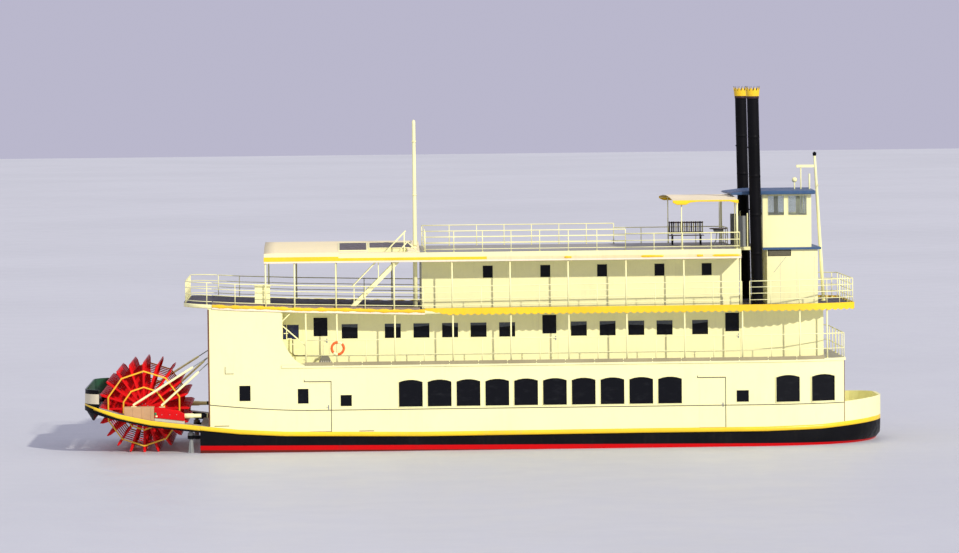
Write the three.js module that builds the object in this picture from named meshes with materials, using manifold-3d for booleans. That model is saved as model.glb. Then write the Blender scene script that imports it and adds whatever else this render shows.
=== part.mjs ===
// A sternwheel passenger steamer afloat, in millimetres.
// Origin: on the waterline, amidships, on the centreline. +X is the bow, +Y is port, +Z is up.

import * as THREE from "three";
import { mergeVertices } from "three/addons/utils/BufferGeometryUtils.js";
import Module from "manifold-3d";

const wasm = await Module();
wasm.setup();

// Fits
const GAP = 0.3; // between pieces that rest on each other
const RUN = 8; // round a door in its opening
const PIN = 0.9; // round a shaft in its bearing
const SHAFT_SIDES = 24;

// Hull and main deck
const BOW_X = 18100;
const SHOULDER_X = 11500; // where the sides start to close in to the bow
const STEM_HALF = 250;
const TRANSOM_X = -12900;
const HULL_HALF = 4400;
const GUARD_HALF = 4500;
const GUARD_DEPTH = 200;
const KEEL_Z = -1350;

// Fantail, the open frame round the paddle wheel
const STERN_X = -18100;
const STERN_RADIUS = 1200;
const WELL_HALF = 3620;
const WELL_AFT_X = -17660;
const BEAM_DEPTH = 300;
const STERN_BODY_Z = 1230;
const BULWARK_TOP_Z = 3000;
const BULWARK_WALL = 80;
const BULWARK_FORE_X = -17400;

// Paddle wheel
const WHEEL = { x: -15450, z: 1960 };
const FLOAT_COUNT = 20;
const FLOAT_RADIUS = 2080;
const FLOAT_HEIGHT = 440;
const FLOAT_THICK = 50;
const ARM_WIDTH = 95;
const ARM_THICK = 60;
const RING_SIDES = 10;
const RING_RADII = [1680, 960];
const RING_BAR = [70, 40]; // radial width and thickness
const SIDE_FRAME_Y = 3150;
const INNER_FRAME_Y = [-1050, 1050];
const SHAFT_RADIUS = 90;
const SHAFT_HALF = 3950;
const HUB_RADIUS = 260;
const BRACES = [[-15860, 2100, 4280], [-14600, 2070, 4020]]; // foot x, foot z, head z

// Mooring posts on the bow
const BITTS = { x: 17150, y: 450, radius: 85, foot: 1130, cross: 1350, top: 1520 };

// Deck heights (top faces) and thicknesses
const DECK_2_Z = 3900;
const DECK_3_Z = 6300;
const DECK_4_Z = 8880;
const DECK_2_THICK = 120;
const DECK_3_THICK = 180;
const DECK_4_THICK = 340;
const DECK_HALF = 4450;
const WALL = 60;

// Main house
const HOUSE_AFT_X = -12500;
const HOUSE_FORE_X = 16100;
const TALL_END_X = -9230; // aft of this the side wall is two decks high
const RECESS_HALF = 3200; // outer face of the upper house walls
const UPPER_FORE_X = 15200;

// Third deck
const DECK_3_AFT_X = -13600;
const DECK_3_FORE_X = 16600;
const DECK_3_CORNER = 1300;
const CABIN = { aft: -2900, fore: 11400 };
const VALANCE_AFT_X = -1790;
const VALANCE_DEPTH = 70;
const VALANCE_THICK = 14;

// Fourth deck and roof
const DECK_4_AFT_X = -9960;
const DECK_4_FORE_X = 11400;
const ROOF_END_X = -3000;
const ROOF_CAMBER = 360;
const ROOF_SPREAD = [1, 0.9, 0.5, 0, -0.5, -0.9, -1]; // shares of the half breadth, port to starboard
const BRIDGE_FORE_X = 12540;
const BRIDGE_HALF = 1900;
const BRIDGE_THICK = 150;
const HATCH = { x: [-5300, -3560], y: [-4300, -3400] };

// Tower, pilothouse, funnels and masts
const TOWER = { x: [12750, 15050], half: 2400, top: 8750 };
const LEDGE = { x: [12555, 15200], half: 2520, thick: 100 };
const PILOT = { x: [12570, 14770], half: 2400, sill: 10310, head: 11200, top: 11250 };
const PILOT_ROOF = { x: [10680, 14930], half: 2700, thick: 270, edge: 210, visor: 800, visorEdge: 90 };
const FUNNEL = {
  y: 3050, radius: 255, wall: 15, foot: [12250, 6300], bore: 12000, top: [12006, 16000], crown: 16160,
};
const AFT_MAST = { x: -3250, y: -3250, radius: 100, top: 14800 };
const FORE_MAST = { foot: [15560, 6300], top: [15130, 13000], radius: 80 };

// Windows: centre x, width, bottom z, top z
const ARCH_COUNT = 10;
const ARCH_PITCH = 1291.5;
const ARCH_FIRST_X = -3469;
const ARCH_SIZE = { width: 1060, bottom: 1980, top: 3180, rise: 100 };
const FORE_ARCHES_X = [13470, 15100];
const SMALL_MAIN_WINDOWS = [
  [-10880, 500, 2320, 3010],
  [-8750, 500, 2180, 2840],
  [-6360, 500, 2040, 2540],
  [11420, 550, 2010, 2530],
];
const UPPER_WINDOWS_X = [-8620, -6165, -4228, -2939, -1649, -368, 921, 4152, 5450, 6745, 8021, 9625];
const UPPER_WINDOW = { width: 720, bottom: 5000, top: 5650 };
const CABIN_WINDOWS_X = [76, 2665, 5226, 7814, 9944];
const CABIN_WINDOW = { width: 450, bottom: 7660, top: 8210 };

// Doors: aft edge x and width of the opening, top z
const SHELL_DOORS = { aft: [-7990, 950], fore: [9460, 1180], top: 3100 };
const UPPER_DOORS = { aft: [-7860, 770], mid: [2440, 770], fore: [10690, 770], top: 6010 };
const PILOT_DOOR = { width: 760, top: 10950 };

// Rails
const BAR = 36; // side of a rail's square bar
const STANCHION = 46;
const POST = 80;
const DECK_2_RAIL = [430, 1100];
const DECK_3_RAIL = [560, 1110];
const DECK_4_RAIL = [470, 940];
const DECK_4_LOW_RAIL = [370, 740];
const RAIL_EDGE = 85; // from a deck's edge to the middle of its rail
const POST_PITCH = 2597;
const DECK_2_POSTS_X = [-8130, ...ladder(-6740, POST_PITCH, 9), 15300];
const DECK_3_POSTS_X = [-9900, -8610, ...ladder(-6760, POST_PITCH, 7)];
const DECK_4_PITCH = 1281;
const DECK_4_RAIL_AFT_X = -2750;
const LOW_RAIL_FROM = 7; // number of the stanchion where the fourth deck's rail drops

// Canopy over the fourth deck
const CANOPY = { x: [7780, 11320], half: 4380, edge: 11060, crown: 11220, thick: 30, skirt: 130 };
const CANOPY_POSTS_X = [8750, 11240];
const CANOPY_BAR = 40;
const CANOPY_POST_RADIUS = 31;

// Steered propeller legs under the fantail
const LEG = { x: -13320, y: 3950, top: 960, seat: 780, stem: 90, pod: -760, tail: 260 };
const PROPELLER = { radius: 300, hub: 75, shaft: 40, length: 150, clear: 5, blades: 4 };

// Heights of the main deck's edge along the ship: x, z
const SHEER = [
  [-18100, 2270], [-16600, 1820], [-15100, 1500], [-13600, 1320], [-12500, 1190], [-11100, 1040],
  [-9060, 930], [-3000, 850], [6800, 880], [12500, 880], [15000, 930], [18100, 1150],
];

// How far the third deck rises aft: x, rise
const DECK_3_RISE = [
  [-13600, 420], [-12300, 355], [-11200, 280], [-10000, 230], [-8400, 160], [-6700, 110], [-3000, 0],
  [16600, 0],
];

// Hull sections: x, half breadth of the chine as a share of the deck's, chine z, keel z
const HULL_SECTIONS = [
  [-12900, 0.92, -380, -620], [-10500, 0.94, -620, -900], [-6000, 0.95, -820, -1200],
  [0, 0.96, -900, KEEL_Z], [8000, 0.96, -900, KEEL_Z], [11500, 0.94, -860, KEEL_Z],
  [13500, 0.88, -760, -1290], [15200, 0.8, -600, -1130], [16500, 0.72, -380, -860],
  [17400, 0.66, -80, -480], [17850, 0.62, 200, -60], [18100, 0.6, 420, 260],
];

// Materials: colour, roughness, metalness
const FINISH = {
  black_paint: [0x15161a, 0.45, 0.2],
  red_paint: [0xc8150e, 0.5, 0.1],
  yellow_paint: [0xf2c318, 0.5, 0.1],
  white_paint: [0xf4efd8, 0.55, 0.05],
  blue_paint: [0x2f4f94, 0.5, 0.1],
  deck_grey: [0x8c8f84, 0.8, 0],
  tan_cover: [0xc9a06c, 0.8, 0],
  grey_metal: [0x8d9194, 0.5, 0.6],
  dark_glass: [0x0d1116, 0.1, 0],
  canvas: [0xf0e6cf, 0.9, 0],
};

// A run of evenly spaced values
function ladder(first, step, count) {
  return Array.from({ length: count }, (_, i) => first + step * i);
}

// The value at x on a table of [x, value] rows
function along(table, x) {
  const last = table.length - 1;
  if (x <= table[0][0]) return table[0][1];
  if (x >= table[last][0]) return table[last][1];
  const i = table.findIndex((row) => row[0] >= x);
  const [xa, a] = table[i - 1];
  const [xb, b] = table[i];
  return a + ((b - a) * (x - xa)) / (xb - xa);
}

const sheer = (x) => along(SHEER, x);
const rise = (x) => along(DECK_3_RISE, x);

// Half breadth of the bow's outline for a deck whose full half breadth is given
function bowHalf(x, full) {
  if (x <= SHOULDER_X) return full;
  const t = (x - SHOULDER_X) / (BOW_X - SHOULDER_X);
  return Math.max(STEM_HALF, full * Math.pow(1 - Math.pow(t, 2.5), 0.45));
}

// Half breadth near an aft end with round corners
function roundedAft(x, aft, radius, full) {
  const into = aft + radius - x;
  return into <= 0 ? full : full - radius + Math.sqrt(Math.max(0, radius ** 2 - into ** 2));
}

// Stations along the ship, closer together where the outline bends
function stations(from, to, extra = []) {
  const bends = [12400, 13200, 14000, 14700, 15300, 15900, 16500, 17000, 17400, 17700, 17950];
  const all = [from, to, ...SHEER.map((row) => row[0]), SHOULDER_X, ...bends, ...extra];
  return [...new Set(all)].filter((x) => x >= from && x <= to).sort((a, b) => a - b);
}

// Solids

function solid(geometry) {
  const bare = geometry.clone();
  bare.deleteAttribute("normal");
  bare.deleteAttribute("uv");
  const merged = mergeVertices(bare, 1e-3);
  const mesh = new wasm.Mesh({
    numProp: 3,
    vertProperties: merged.attributes.position.array,
    triVerts: new Uint32Array(merged.index.array),
  });
  return new wasm.Manifold(mesh);
}

function joined(solids) {
  return solids.reduce((all, next) => all.add(next));
}

function cut(body, tools) {
  return tools.reduce((rest, tool) => rest.subtract(tool), body);
}

function block([x0, x1], [y0, y1], [z0, z1]) {
  const box = new THREE.BoxGeometry(x1 - x0, y1 - y0, z1 - z0);
  return solid(box.translate((x0 + x1) / 2, (y0 + y1) / 2, (z0 + z1) / 2));
}

// A solid through closed sections that have the same number of points
function loft(sections) {
  const count = sections[0].length;
  const positions = sections.flat(2);
  const faces = [];
  for (let s = 0; s + 1 < sections.length; s++) {
    for (let i = 0; i < count; i++) {
      const a = s * count + i;
      const b = s * count + ((i + 1) % count);
      faces.push(a, b, b + count, a, b + count, a + count);
    }
  }
  const last = (sections.length - 1) * count;
  for (let i = 1; i + 1 < count; i++) {
    faces.push(0, i + 1, i, last, last + i, last + i + 1);
  }
  const build = (index) => {
    const geometry = new THREE.BufferGeometry();
    geometry.setAttribute("position", new THREE.Float32BufferAttribute(positions, 3));
    geometry.setIndex(index);
    return solid(geometry);
  };
  const body = build(faces);
  return body.volume() > 0 ? body : build([...faces].reverse());
}

// A rectangle across the ship at x
function slice(x, [y0, y1], [z0, z1]) {
  return [[x, y0, z0], [x, y1, z0], [x, y1, z1], [x, y0, z1]];
}

// An outline in X and Z, extruded across the ship
function profile(points, [y0, y1]) {
  const shape = new THREE.Shape(points.map(([x, z]) => new THREE.Vector2(x, z)));
  const geometry = new THREE.ExtrudeGeometry(shape, { depth: y1 - y0, bevelEnabled: false });
  return solid(geometry.rotateX(Math.PI / 2).translate(0, y1, 0));
}

// An outline in X and Y, extruded upwards
function plate(points, [z0, z1]) {
  const shape = new THREE.Shape(points.map(([x, y]) => new THREE.Vector2(x, y)));
  const geometry = new THREE.ExtrudeGeometry(shape, { depth: z1 - z0, bevelEnabled: false });
  return solid(geometry.translate(0, 0, z0));
}

// An outline in Y and Z, extruded along the ship
function rib(points, [x0, x1]) {
  const shape = new THREE.Shape(points.map(([y, z]) => new THREE.Vector2(y, z)));
  const geometry = new THREE.ExtrudeGeometry(shape, { depth: x1 - x0, bevelEnabled: false });
  const turned = new THREE.Matrix4().set(0, 0, 1, x0, 1, 0, 0, 0, 0, 1, 0, 0, 0, 0, 0, 1);
  return solid(geometry.applyMatrix4(turned));
}

// Puts a geometry whose length lies along Y between two points, its own Z as near upright as it goes
function between(geometry, from, to) {
  const a = new THREE.Vector3(...from);
  const b = new THREE.Vector3(...to);
  const way = b.clone().sub(a).normalize();
  const up = Math.abs(way.z) > 0.999 ? new THREE.Vector3(1, 0, 0) : new THREE.Vector3(0, 0, 1);
  const side = way.clone().cross(up).normalize();
  const basis = new THREE.Matrix4().makeBasis(side, way, side.clone().cross(way));
  return geometry.applyMatrix4(basis).translate(...a.add(b).multiplyScalar(0.5).toArray());
}

function distance(from, to) {
  return new THREE.Vector3(...from).distanceTo(new THREE.Vector3(...to));
}

function rod(from, to, radius, sides = 12, topRadius = radius) {
  return solid(between(new THREE.CylinderGeometry(topRadius, radius, distance(from, to), sides), from, to));
}

function bar(from, to, width, depth = width) {
  return solid(between(new THREE.BoxGeometry(width, distance(from, to), depth), from, to));
}

// The same solid on the other side of the ship
function mirrored(body) {
  return body.mirror([0, 1, 0]);
}

// The exported group and its meshes

const ship = new THREE.Group();

function add(name, finish, body) {
  const made = body.getMesh();
  const geometry = new THREE.BufferGeometry();
  const positions = new Float32Array(made.numVert * 3);
  for (let i = 0; i < made.numVert; i++) {
    positions.set(made.vertProperties.subarray(i * made.numProp, i * made.numProp + 3), i * 3);
  }
  geometry.setAttribute("position", new THREE.BufferAttribute(positions, 3));
  geometry.setIndex([...made.triVerts]);
  const [color, roughness, metalness] = FINISH[finish];
  const mesh = new THREE.Mesh(geometry, new THREE.MeshStandardMaterial({ color, roughness, metalness }));
  mesh.name = name;
  ship.add(mesh);
}

// The same piece to starboard, as drawn, and to port
function addPair(name, finish, starboard) {
  add(name + "_starboard", finish, starboard);
  add(name + "_port", finish, mirrored(starboard));
}

// Hull

function hullSection([x, share, chineZ, keelZ]) {
  const top = bowHalf(x, HULL_HALF);
  const chine = top * share;
  const deckZ = sheer(x) - GUARD_DEPTH - GAP;
  return [
    [x, 0, keelZ], [x, chine, chineZ], [x, top, (chineZ + deckZ) / 2], [x, top, deckZ],
    [x, -top, deckZ], [x, -top, (chineZ + deckZ) / 2], [x, -chine, chineZ],
  ];
}

function legBracket(side) {
  const y = side * LEG.y;
  const z = [LEG.seat - 150, LEG.seat];
  const arm = block([LEG.x, TRANSOM_X + 100], [y - 130, y + 130], z);
  const collar = rod([LEG.x, y, z[0]], [LEG.x, y, z[1]], LEG.stem + 70, SHAFT_SIDES);
  const bore = rod([LEG.x, y, z[0] - 10], [LEG.x, y, z[1] + 10], LEG.stem + PIN, SHAFT_SIDES);
  return { body: arm.add(collar), bore };
}

function hull() {
  const rows = stations(TRANSOM_X, BOW_X, HULL_SECTIONS.map((row) => row[0])).map((x) => [
    x,
    along(HULL_SECTIONS, x),
    along(HULL_SECTIONS.map((row) => [row[0], row[2]]), x),
    along(HULL_SECTIONS.map((row) => [row[0], row[3]]), x),
  ]);
  const brackets = [-1, 1].map(legBracket);
  const body = joined([loft(rows.map(hullSection)), ...brackets.map((b) => b.body)]);
  return cut(body, brackets.map((b) => b.bore));
}

function mainDeck() {
  const rows = stations(TRANSOM_X + 5, BOW_X);
  return loft(rows.map((x) => {
    const half = bowHalf(x, GUARD_HALF);
    return slice(x, [-half, half], [sheer(x) - GUARD_DEPTH, sheer(x)]);
  }));
}

// Fantail: side beams, the stern body and its bulwark

const STERN_STEPS = [0, 0.08, 0.3, 0.6, 0.85, 1].map((t) => STERN_X + STERN_RADIUS * t);

function fantailSlab(inset, zAt) {
  const xs = [...new Set([...STERN_STEPS, ...stations(STERN_X + STERN_RADIUS, TRANSOM_X - GAP)])];
  const rows = xs.filter((x) => x > STERN_X + inset).concat(inset > 0 ? [STERN_X + inset] : []);
  return loft(rows.sort((a, b) => a - b).map((x) => {
    const half = roundedAft(x, STERN_X, STERN_RADIUS, GUARD_HALF) - inset;
    return slice(x, [-half, half], zAt(x));
  }));
}

function sternOutline(inset, foreX) {
  const arc = ladder(0, Math.PI / 12, 7).map((a) => [
    STERN_X + STERN_RADIUS - (STERN_RADIUS - inset) * Math.cos(a),
    GUARD_HALF - STERN_RADIUS + (STERN_RADIUS - inset) * Math.sin(a),
  ]).filter(([x]) => x < foreX);
  const port = [...arc, [foreX, roundedAft(foreX, STERN_X, STERN_RADIUS, GUARD_HALF) - inset]];
  return [...port.map(([x, y]) => [x, -y]).reverse(), ...port];
}

function fantail() {
  const well = block([WELL_AFT_X, TRANSOM_X + 10], [-WELL_HALF, WELL_HALF], [0, 4000]);
  const frame = fantailSlab(0, (x) => [sheer(x) - BEAM_DEPTH, sheer(x)]).subtract(well);
  const body = plate(sternOutline(60, WELL_AFT_X), [STERN_BODY_Z, sheer(WELL_AFT_X)]);
  const outside = plate(sternOutline(20, BULWARK_FORE_X), [sheer(WELL_AFT_X) - 100, BULWARK_TOP_Z]);
  const inside = plate(
    sternOutline(20 + BULWARK_WALL, BULWARK_FORE_X + 100), [sheer(STERN_X) + 1, BULWARK_TOP_Z + 10]);
  const over = block([WELL_AFT_X, 0], [-WELL_HALF, WELL_HALF], [0, 4000]);
  return joined([frame, body, outside.subtract(inside).subtract(over)]);
}

// Main house

function mainWindowCutters() {
  const { width, bottom, top, rise: archRise } = ARCH_SIZE;
  const arch = (x) => {
    const shape = [[x - width / 2, bottom], [x + width / 2, bottom]];
    for (const t of [1, 0.6, 0.2, -0.2, -0.6, -1]) {
      shape.push([x + (t * width) / 2, top - archRise * t * t]);
    }
    return profile(shape, [-GUARD_HALF, -1500]);
  };
  const arches = [...ladder(ARCH_FIRST_X, ARCH_PITCH, ARCH_COUNT), ...FORE_ARCHES_X].map(arch);
  const small = SMALL_MAIN_WINDOWS.map(([x, w, z0, z1]) =>
    block([x - w / 2, x + w / 2], [-GUARD_HALF, -1500], [z0, z1]));
  return [...arches, ...small];
}

function shellDoorFloor([x, width]) {
  return Math.max(sheer(x), sheer(x + width)) + RUN;
}

function mainSideWall() {
  const topZ = DECK_2_Z - DECK_2_THICK - GAP;
  const low = loft(stations(TALL_END_X, HOUSE_FORE_X).map((x) => {
    const y = bowHalf(x, HULL_HALF);
    return slice(x, [-y, WALL - y], [sheer(x) + GAP, topZ]);
  }));
  const tall = loft([HOUSE_AFT_X, -12300, -11200, -11100, -10000, TALL_END_X].map((x) =>
    slice(x, [-HULL_HALF, WALL - HULL_HALF], [sheer(x) + GAP, DECK_3_Z - DECK_3_THICK + rise(x) - GAP])));
  const doors = [SHELL_DOORS.aft, SHELL_DOORS.fore].map(([x, width]) =>
    block([x, x + width], [-GUARD_HALF, -3500], [0, SHELL_DOORS.top]));
  return cut(low.add(tall), [...mainWindowCutters(), ...doors]);
}

function mainGlass() {
  const half = ARCH_SIZE.width / 2 + 120;
  const ends = [ARCH_FIRST_X - half, ARCH_FIRST_X + ARCH_PITCH * (ARCH_COUNT - 1) + half];
  const y = WALL - HULL_HALF + GAP;
  return block(ends, [y, y + 10], [ARCH_SIZE.bottom - 100, ARCH_SIZE.top + 100]);
}

function aftBulkhead() {
  const inner = HULL_HALF - WALL - GAP;
  const top = DECK_3_Z - DECK_3_THICK + rise(HOUSE_AFT_X + WALL) - GAP;
  return block([HOUSE_AFT_X, HOUSE_AFT_X + WALL], [-inner, inner], [sheer(HOUSE_AFT_X) + GAP, top]);
}

function foreBulkhead() {
  const inner = bowHalf(HOUSE_FORE_X, HULL_HALF) - WALL - 20;
  const z = [sheer(HOUSE_FORE_X) + GAP, DECK_2_Z - DECK_2_THICK - GAP];
  return block([HOUSE_FORE_X - WALL, HOUSE_FORE_X], [-inner, inner], z);
}

// The pin along a door's hinged edge, just clear of the jamb
function hingePin([x, y], [z0, z1]) {
  return rod([x, y, z0], [x, y, z1], RUN - GAP, 8);
}

function shellDoor([x, width]) {
  const z = [shellDoorFloor([x, width]), SHELL_DOORS.top - RUN];
  const panel = block([x + RUN, x + width - RUN], [-HULL_HALF, WALL - HULL_HALF], z);
  return panel.add(hingePin([x + RUN, -HULL_HALF], z));
}

function bowBulwark() {
  const rows = stations(HOUSE_FORE_X + 10, BOW_X - 60, [17850]);
  const ring = (inset, z) => loft(rows.map((x) => {
    const half = bowHalf(x, HULL_HALF) - inset;
    return slice(x, [-half, half], z(x));
  }));
  const outside = ring(0, (x) => [sheer(x) + GAP, sheer(x) + 900]);
  const inside = loft(stations(HOUSE_FORE_X, BOW_X - 200).map((x) => {
    const half = bowHalf(x, HULL_HALF) - BULWARK_WALL;
    return slice(x, [-half, half], [0, 4000]);
  }));
  return outside.subtract(inside);
}

// Second deck and its house

function deck2() {
  const inner = HULL_HALF - WALL - GAP;
  const z = [DECK_2_Z - DECK_2_THICK, DECK_2_Z];
  const aft = block([HOUSE_AFT_X + WALL + GAP, TALL_END_X + 10], [-inner, inner], z);
  const fore = loft(stations(TALL_END_X + GAP, HOUSE_FORE_X + 60).map((x) => {
    const half = bowHalf(x, DECK_HALF);
    return slice(x, [-half, half], z);
  }));
  return aft.add(fore);
}

function upperSideWall() {
  const z = [DECK_2_Z + GAP, DECK_3_Z - DECK_3_THICK - GAP];
  const top = (x) => [z[0], z[1] + rise(x)];
  const wall = loft([TALL_END_X, -8400, -6700, -3000, UPPER_FORE_X].map((x) =>
    slice(x, [-RECESS_HALF, WALL - RECESS_HALF], top(x))));
  const back = loft([TALL_END_X, TALL_END_X + WALL].map((x) =>
    slice(x, [WALL + GAP - HULL_HALF, 10 - RECESS_HALF], top(x))));
  const { width, bottom, top: head } = UPPER_WINDOW;
  const through = [-RECESS_HALF - 100, -RECESS_HALF + 200];
  const windows = UPPER_WINDOWS_X.map((x) => block([x - width / 2, x + width / 2], through, [bottom, head]));
  const doors = [UPPER_DOORS.aft, UPPER_DOORS.mid, UPPER_DOORS.fore].map(([x, w]) =>
    block([x, x + w], through, [0, UPPER_DOORS.top]));
  return cut(wall.add(back), [...windows, ...doors]);
}

function upperForeWall() {
  const inner = RECESS_HALF - WALL - GAP;
  const wall = block([UPPER_FORE_X - WALL, UPPER_FORE_X], [-inner, inner],
    [DECK_2_Z + GAP, DECK_3_Z - DECK_3_THICK - GAP]);
  const windows = ladder(-2200, 1100, 5).map((y) =>
    block([UPPER_FORE_X - 200, UPPER_FORE_X + 100], [y - 380, y + 380],
      [UPPER_WINDOW.bottom, UPPER_WINDOW.top]));
  return cut(wall, windows);
}

function upperDoor([x, width]) {
  const z = [DECK_2_Z + RUN, UPPER_DOORS.top - RUN];
  const panel = block([x + RUN, x + width - RUN], [-RECESS_HALF, WALL - RECESS_HALF], z);
  const light = block([x + 130, x + width - 130], [-RECESS_HALF - 10, 200 - RECESS_HALF], [5140, 5870]);
  const pane = block([x + 120, x + width - 120], [-RECESS_HALF + 25, -RECESS_HALF + 35], [5130, 5880]);
  return joined([panel.subtract(light), pane, hingePin([x + RUN, -RECESS_HALF], z)]);
}

// Third deck, its valance, cabin and tower

function deck3Half(x, full = DECK_HALF) {
  return Math.min(roundedAft(x, DECK_3_AFT_X, DECK_3_CORNER, full), bowHalf(x, full));
}

function deck3() {
  const corner = [0, 0.04, 0.15, 0.35, 0.65, 1].map((t) => DECK_3_AFT_X + DECK_3_CORNER * t);
  const rows = stations(DECK_3_AFT_X, DECK_3_FORE_X, [...corner, ...DECK_3_RISE.map((row) => row[0])]);
  const slab = loft(rows.filter((x) => x > DECK_3_AFT_X + DECK_3_CORNER || corner.includes(x)).map((x) => {
    const half = deck3Half(x);
    const top = DECK_3_Z + rise(x);
    return slice(x, [-half, half], [top - DECK_3_THICK, top]);
  }));
  const valance = loft(stations(VALANCE_AFT_X, DECK_3_FORE_X).map((x) => {
    const half = deck3Half(x);
    return slice(x, [-half, VALANCE_THICK - half], [DECK_3_Z - DECK_3_THICK - VALANCE_DEPTH, DECK_3_Z - 10]);
  }));
  const front = deck3Half(DECK_3_FORE_X);
  const foreValance = block([DECK_3_FORE_X - VALANCE_THICK, DECK_3_FORE_X], [-front, front],
    [DECK_3_Z - DECK_3_THICK - VALANCE_DEPTH, DECK_3_Z - 10]);
  return joined([slab, valance, mirrored(valance), foreValance]);
}

// Four walls round a room, open above and below
function room([x0, x1], half, z) {
  const outer = block([x0, x1], [-half, half], z);
  return outer.subtract(block([x0 + WALL, x1 - WALL], [WALL - half, half - WALL], [z[0] - 10, z[1] + 10]));
}

function cabin() {
  const walls = room([CABIN.aft, CABIN.fore], RECESS_HALF, [DECK_3_Z + GAP, DECK_4_Z - DECK_4_THICK - GAP]);
  const { width, bottom, top } = CABIN_WINDOW;
  const windows = CABIN_WINDOWS_X.map((x) =>
    block([x - width / 2, x + width / 2], [-RECESS_HALF - 100, RECESS_HALF + 100], [bottom, top]));
  const doorway = block([CABIN.aft - 100, CABIN.aft + 200], [-400, 400], [0, DECK_3_Z + 2050]);
  return cut(walls, [...windows, doorway]);
}

function tower() {
  const walls = room(TOWER.x, TOWER.half, [DECK_3_Z + GAP, TOWER.top]);
  const ledge = block(LEDGE.x, [-LEDGE.half, LEDGE.half], [TOWER.top, TOWER.top + LEDGE.thick]);
  const doorway = block([TOWER.x[0] - 100, TOWER.x[0] + 200], [-400, 400], [0, DECK_3_Z + 2000]);
  return walls.add(ledge).subtract(doorway);
}

function pilothouse() {
  const floor = TOWER.top + LEDGE.thick + GAP;
  const walls = room(PILOT.x, PILOT.half, [floor, PILOT.top]);
  const sideLights = [[12810, 13530], [13730, 14560]].map((x) =>
    block(x, [-PILOT.half - 100, PILOT.half + 100], [PILOT.sill, PILOT.head]));
  const foreLights = ladder(-1760, 1173, 4).map((y) =>
    block([PILOT.x[1] - 200, PILOT.x[1] + 100], [y - 510, y + 510], [PILOT.sill, PILOT.head]));
  const aftLights = [-1450, 1450].map((y) =>
    block([PILOT.x[0] - 100, PILOT.x[0] + 200], [y - 600, y + 600], [PILOT.sill, PILOT.head]));
  const half = PILOT_DOOR.width / 2;
  const doorway = block([PILOT.x[0] - 100, PILOT.x[0] + 200], [-half, half], [0, PILOT_DOOR.top]);
  return cut(walls, [...sideLights, ...foreLights, ...aftLights, doorway]);
}

function pilotDoor() {
  const half = PILOT_DOOR.width / 2 - RUN;
  const z = [TOWER.top + LEDGE.thick + 50, PILOT_DOOR.top - RUN];
  return block([PILOT.x[0], PILOT.x[0] + WALL], [-half, half], z).add(hingePin([PILOT.x[0], -half], z));
}

function pilotRoof() {
  const { x: [x0, x1], half, thick, edge, visor, visorEdge } = PILOT_ROOF;
  const z = PILOT.top + GAP;
  const section = (x, middle, side) => [
    [x, -half, z], [x, half, z], [x, half, z + side], [x, 0, z + middle], [x, -half, z + side],
  ];
  const aft = section(x0, visorEdge + 20, visorEdge);
  return loft([aft, section(x0 + visor, thick, edge), section(x1, thick, edge)]);
}

// Fourth deck with the cambered roof aft, the stair hatch and the way to the pilothouse

function deck4() {
  const z0 = DECK_4_Z - DECK_4_THICK;
  const aft = loft([DECK_4_AFT_X, ROOF_END_X].map((x) => [
    [x, -DECK_HALF, z0], [x, DECK_HALF, z0],
    ...ROOF_SPREAD.map((t) => [x, t * DECK_HALF, DECK_4_Z + ROOF_CAMBER * (1 - t * t)]),
  ]));
  const fore = block([ROOF_END_X - 10, DECK_4_FORE_X], [-DECK_HALF, DECK_HALF], [z0, DECK_4_Z]);
  const bridge = block([DECK_4_FORE_X - 10, BRIDGE_FORE_X], [-BRIDGE_HALF, BRIDGE_HALF],
    [DECK_4_Z - BRIDGE_THICK, DECK_4_Z]);
  const hatch = block(HATCH.x, HATCH.y, [z0 - 10, DECK_4_Z + 500]);
  const { x, y, radius } = AFT_MAST;
  const mastHole = rod([x, y, z0 - 10], [x, y, DECK_4_Z + 500], radius + 1, 16);
  return cut(joined([aft, fore, bridge]), [hatch, mastHole]);
}

// Rails

// Bars and stanchions along plan points [x, y]; feet gives the deck's height at x
function rail(points, heights, feet, postsAt = []) {
  const pieces = [];
  points.forEach(([x, y], i) => {
    const post = postsAt.find((p) => Math.abs(p.x - x) < 1);
    const width = post ? POST : STANCHION;
    const top = post ? post.top : feet(x) + heights[heights.length - 1] + BAR / 2;
    const foot = Math.max(feet(x - width / 2), feet(x + width / 2)) + GAP;
    pieces.push(block([x - width / 2, x + width / 2], [y - width / 2, y + width / 2], [foot, top]));
    if (i === 0) return;
    const [px, py] = points[i - 1];
    for (const h of heights) pieces.push(bar([px, py, feet(px) + h], [x, y, feet(x) + h], BAR));
  });
  return joined(pieces);
}

const flat = (z) => () => z;

function deck2Rail() {
  const xs = [TALL_END_X + 60, ...DECK_2_POSTS_X, ...ladder(-6740 + POST_PITCH / 2, POST_PITCH, 8), 16100];
  const edge = xs.sort((a, b) => a - b).map((x) => [x, RAIL_EDGE - bowHalf(x, DECK_HALF)]);
  const front = [-2600, -1300, -100].map((y) => [HOUSE_FORE_X, y]);
  const under = DECK_3_Z - DECK_3_THICK - GAP - 12;
  const posts = DECK_2_POSTS_X.map((x) => ({ x, top: under + rise(x - POST / 2) }));
  return rail([...edge, ...front], DECK_2_RAIL, flat(DECK_2_Z), posts);
}

function deck3RailSide() {
  const between3 = ladder(-6760 + POST_PITCH / 2, POST_PITCH, 6);
  const fore = ladder(10121, POST_PITCH / 2, 2);
  const xs = [-12250, -11270, ...DECK_3_POSTS_X, ...between3, ...fore];
  const points = xs.sort((a, b) => a - b).map((x) => [x, RAIL_EDGE - DECK_HALF]);
  const posts = DECK_3_POSTS_X.map((x) => ({ x, top: DECK_4_Z - DECK_4_THICK - GAP }));
  return rail(points, DECK_3_RAIL, (x) => DECK_3_Z + rise(x), posts);
}

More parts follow.
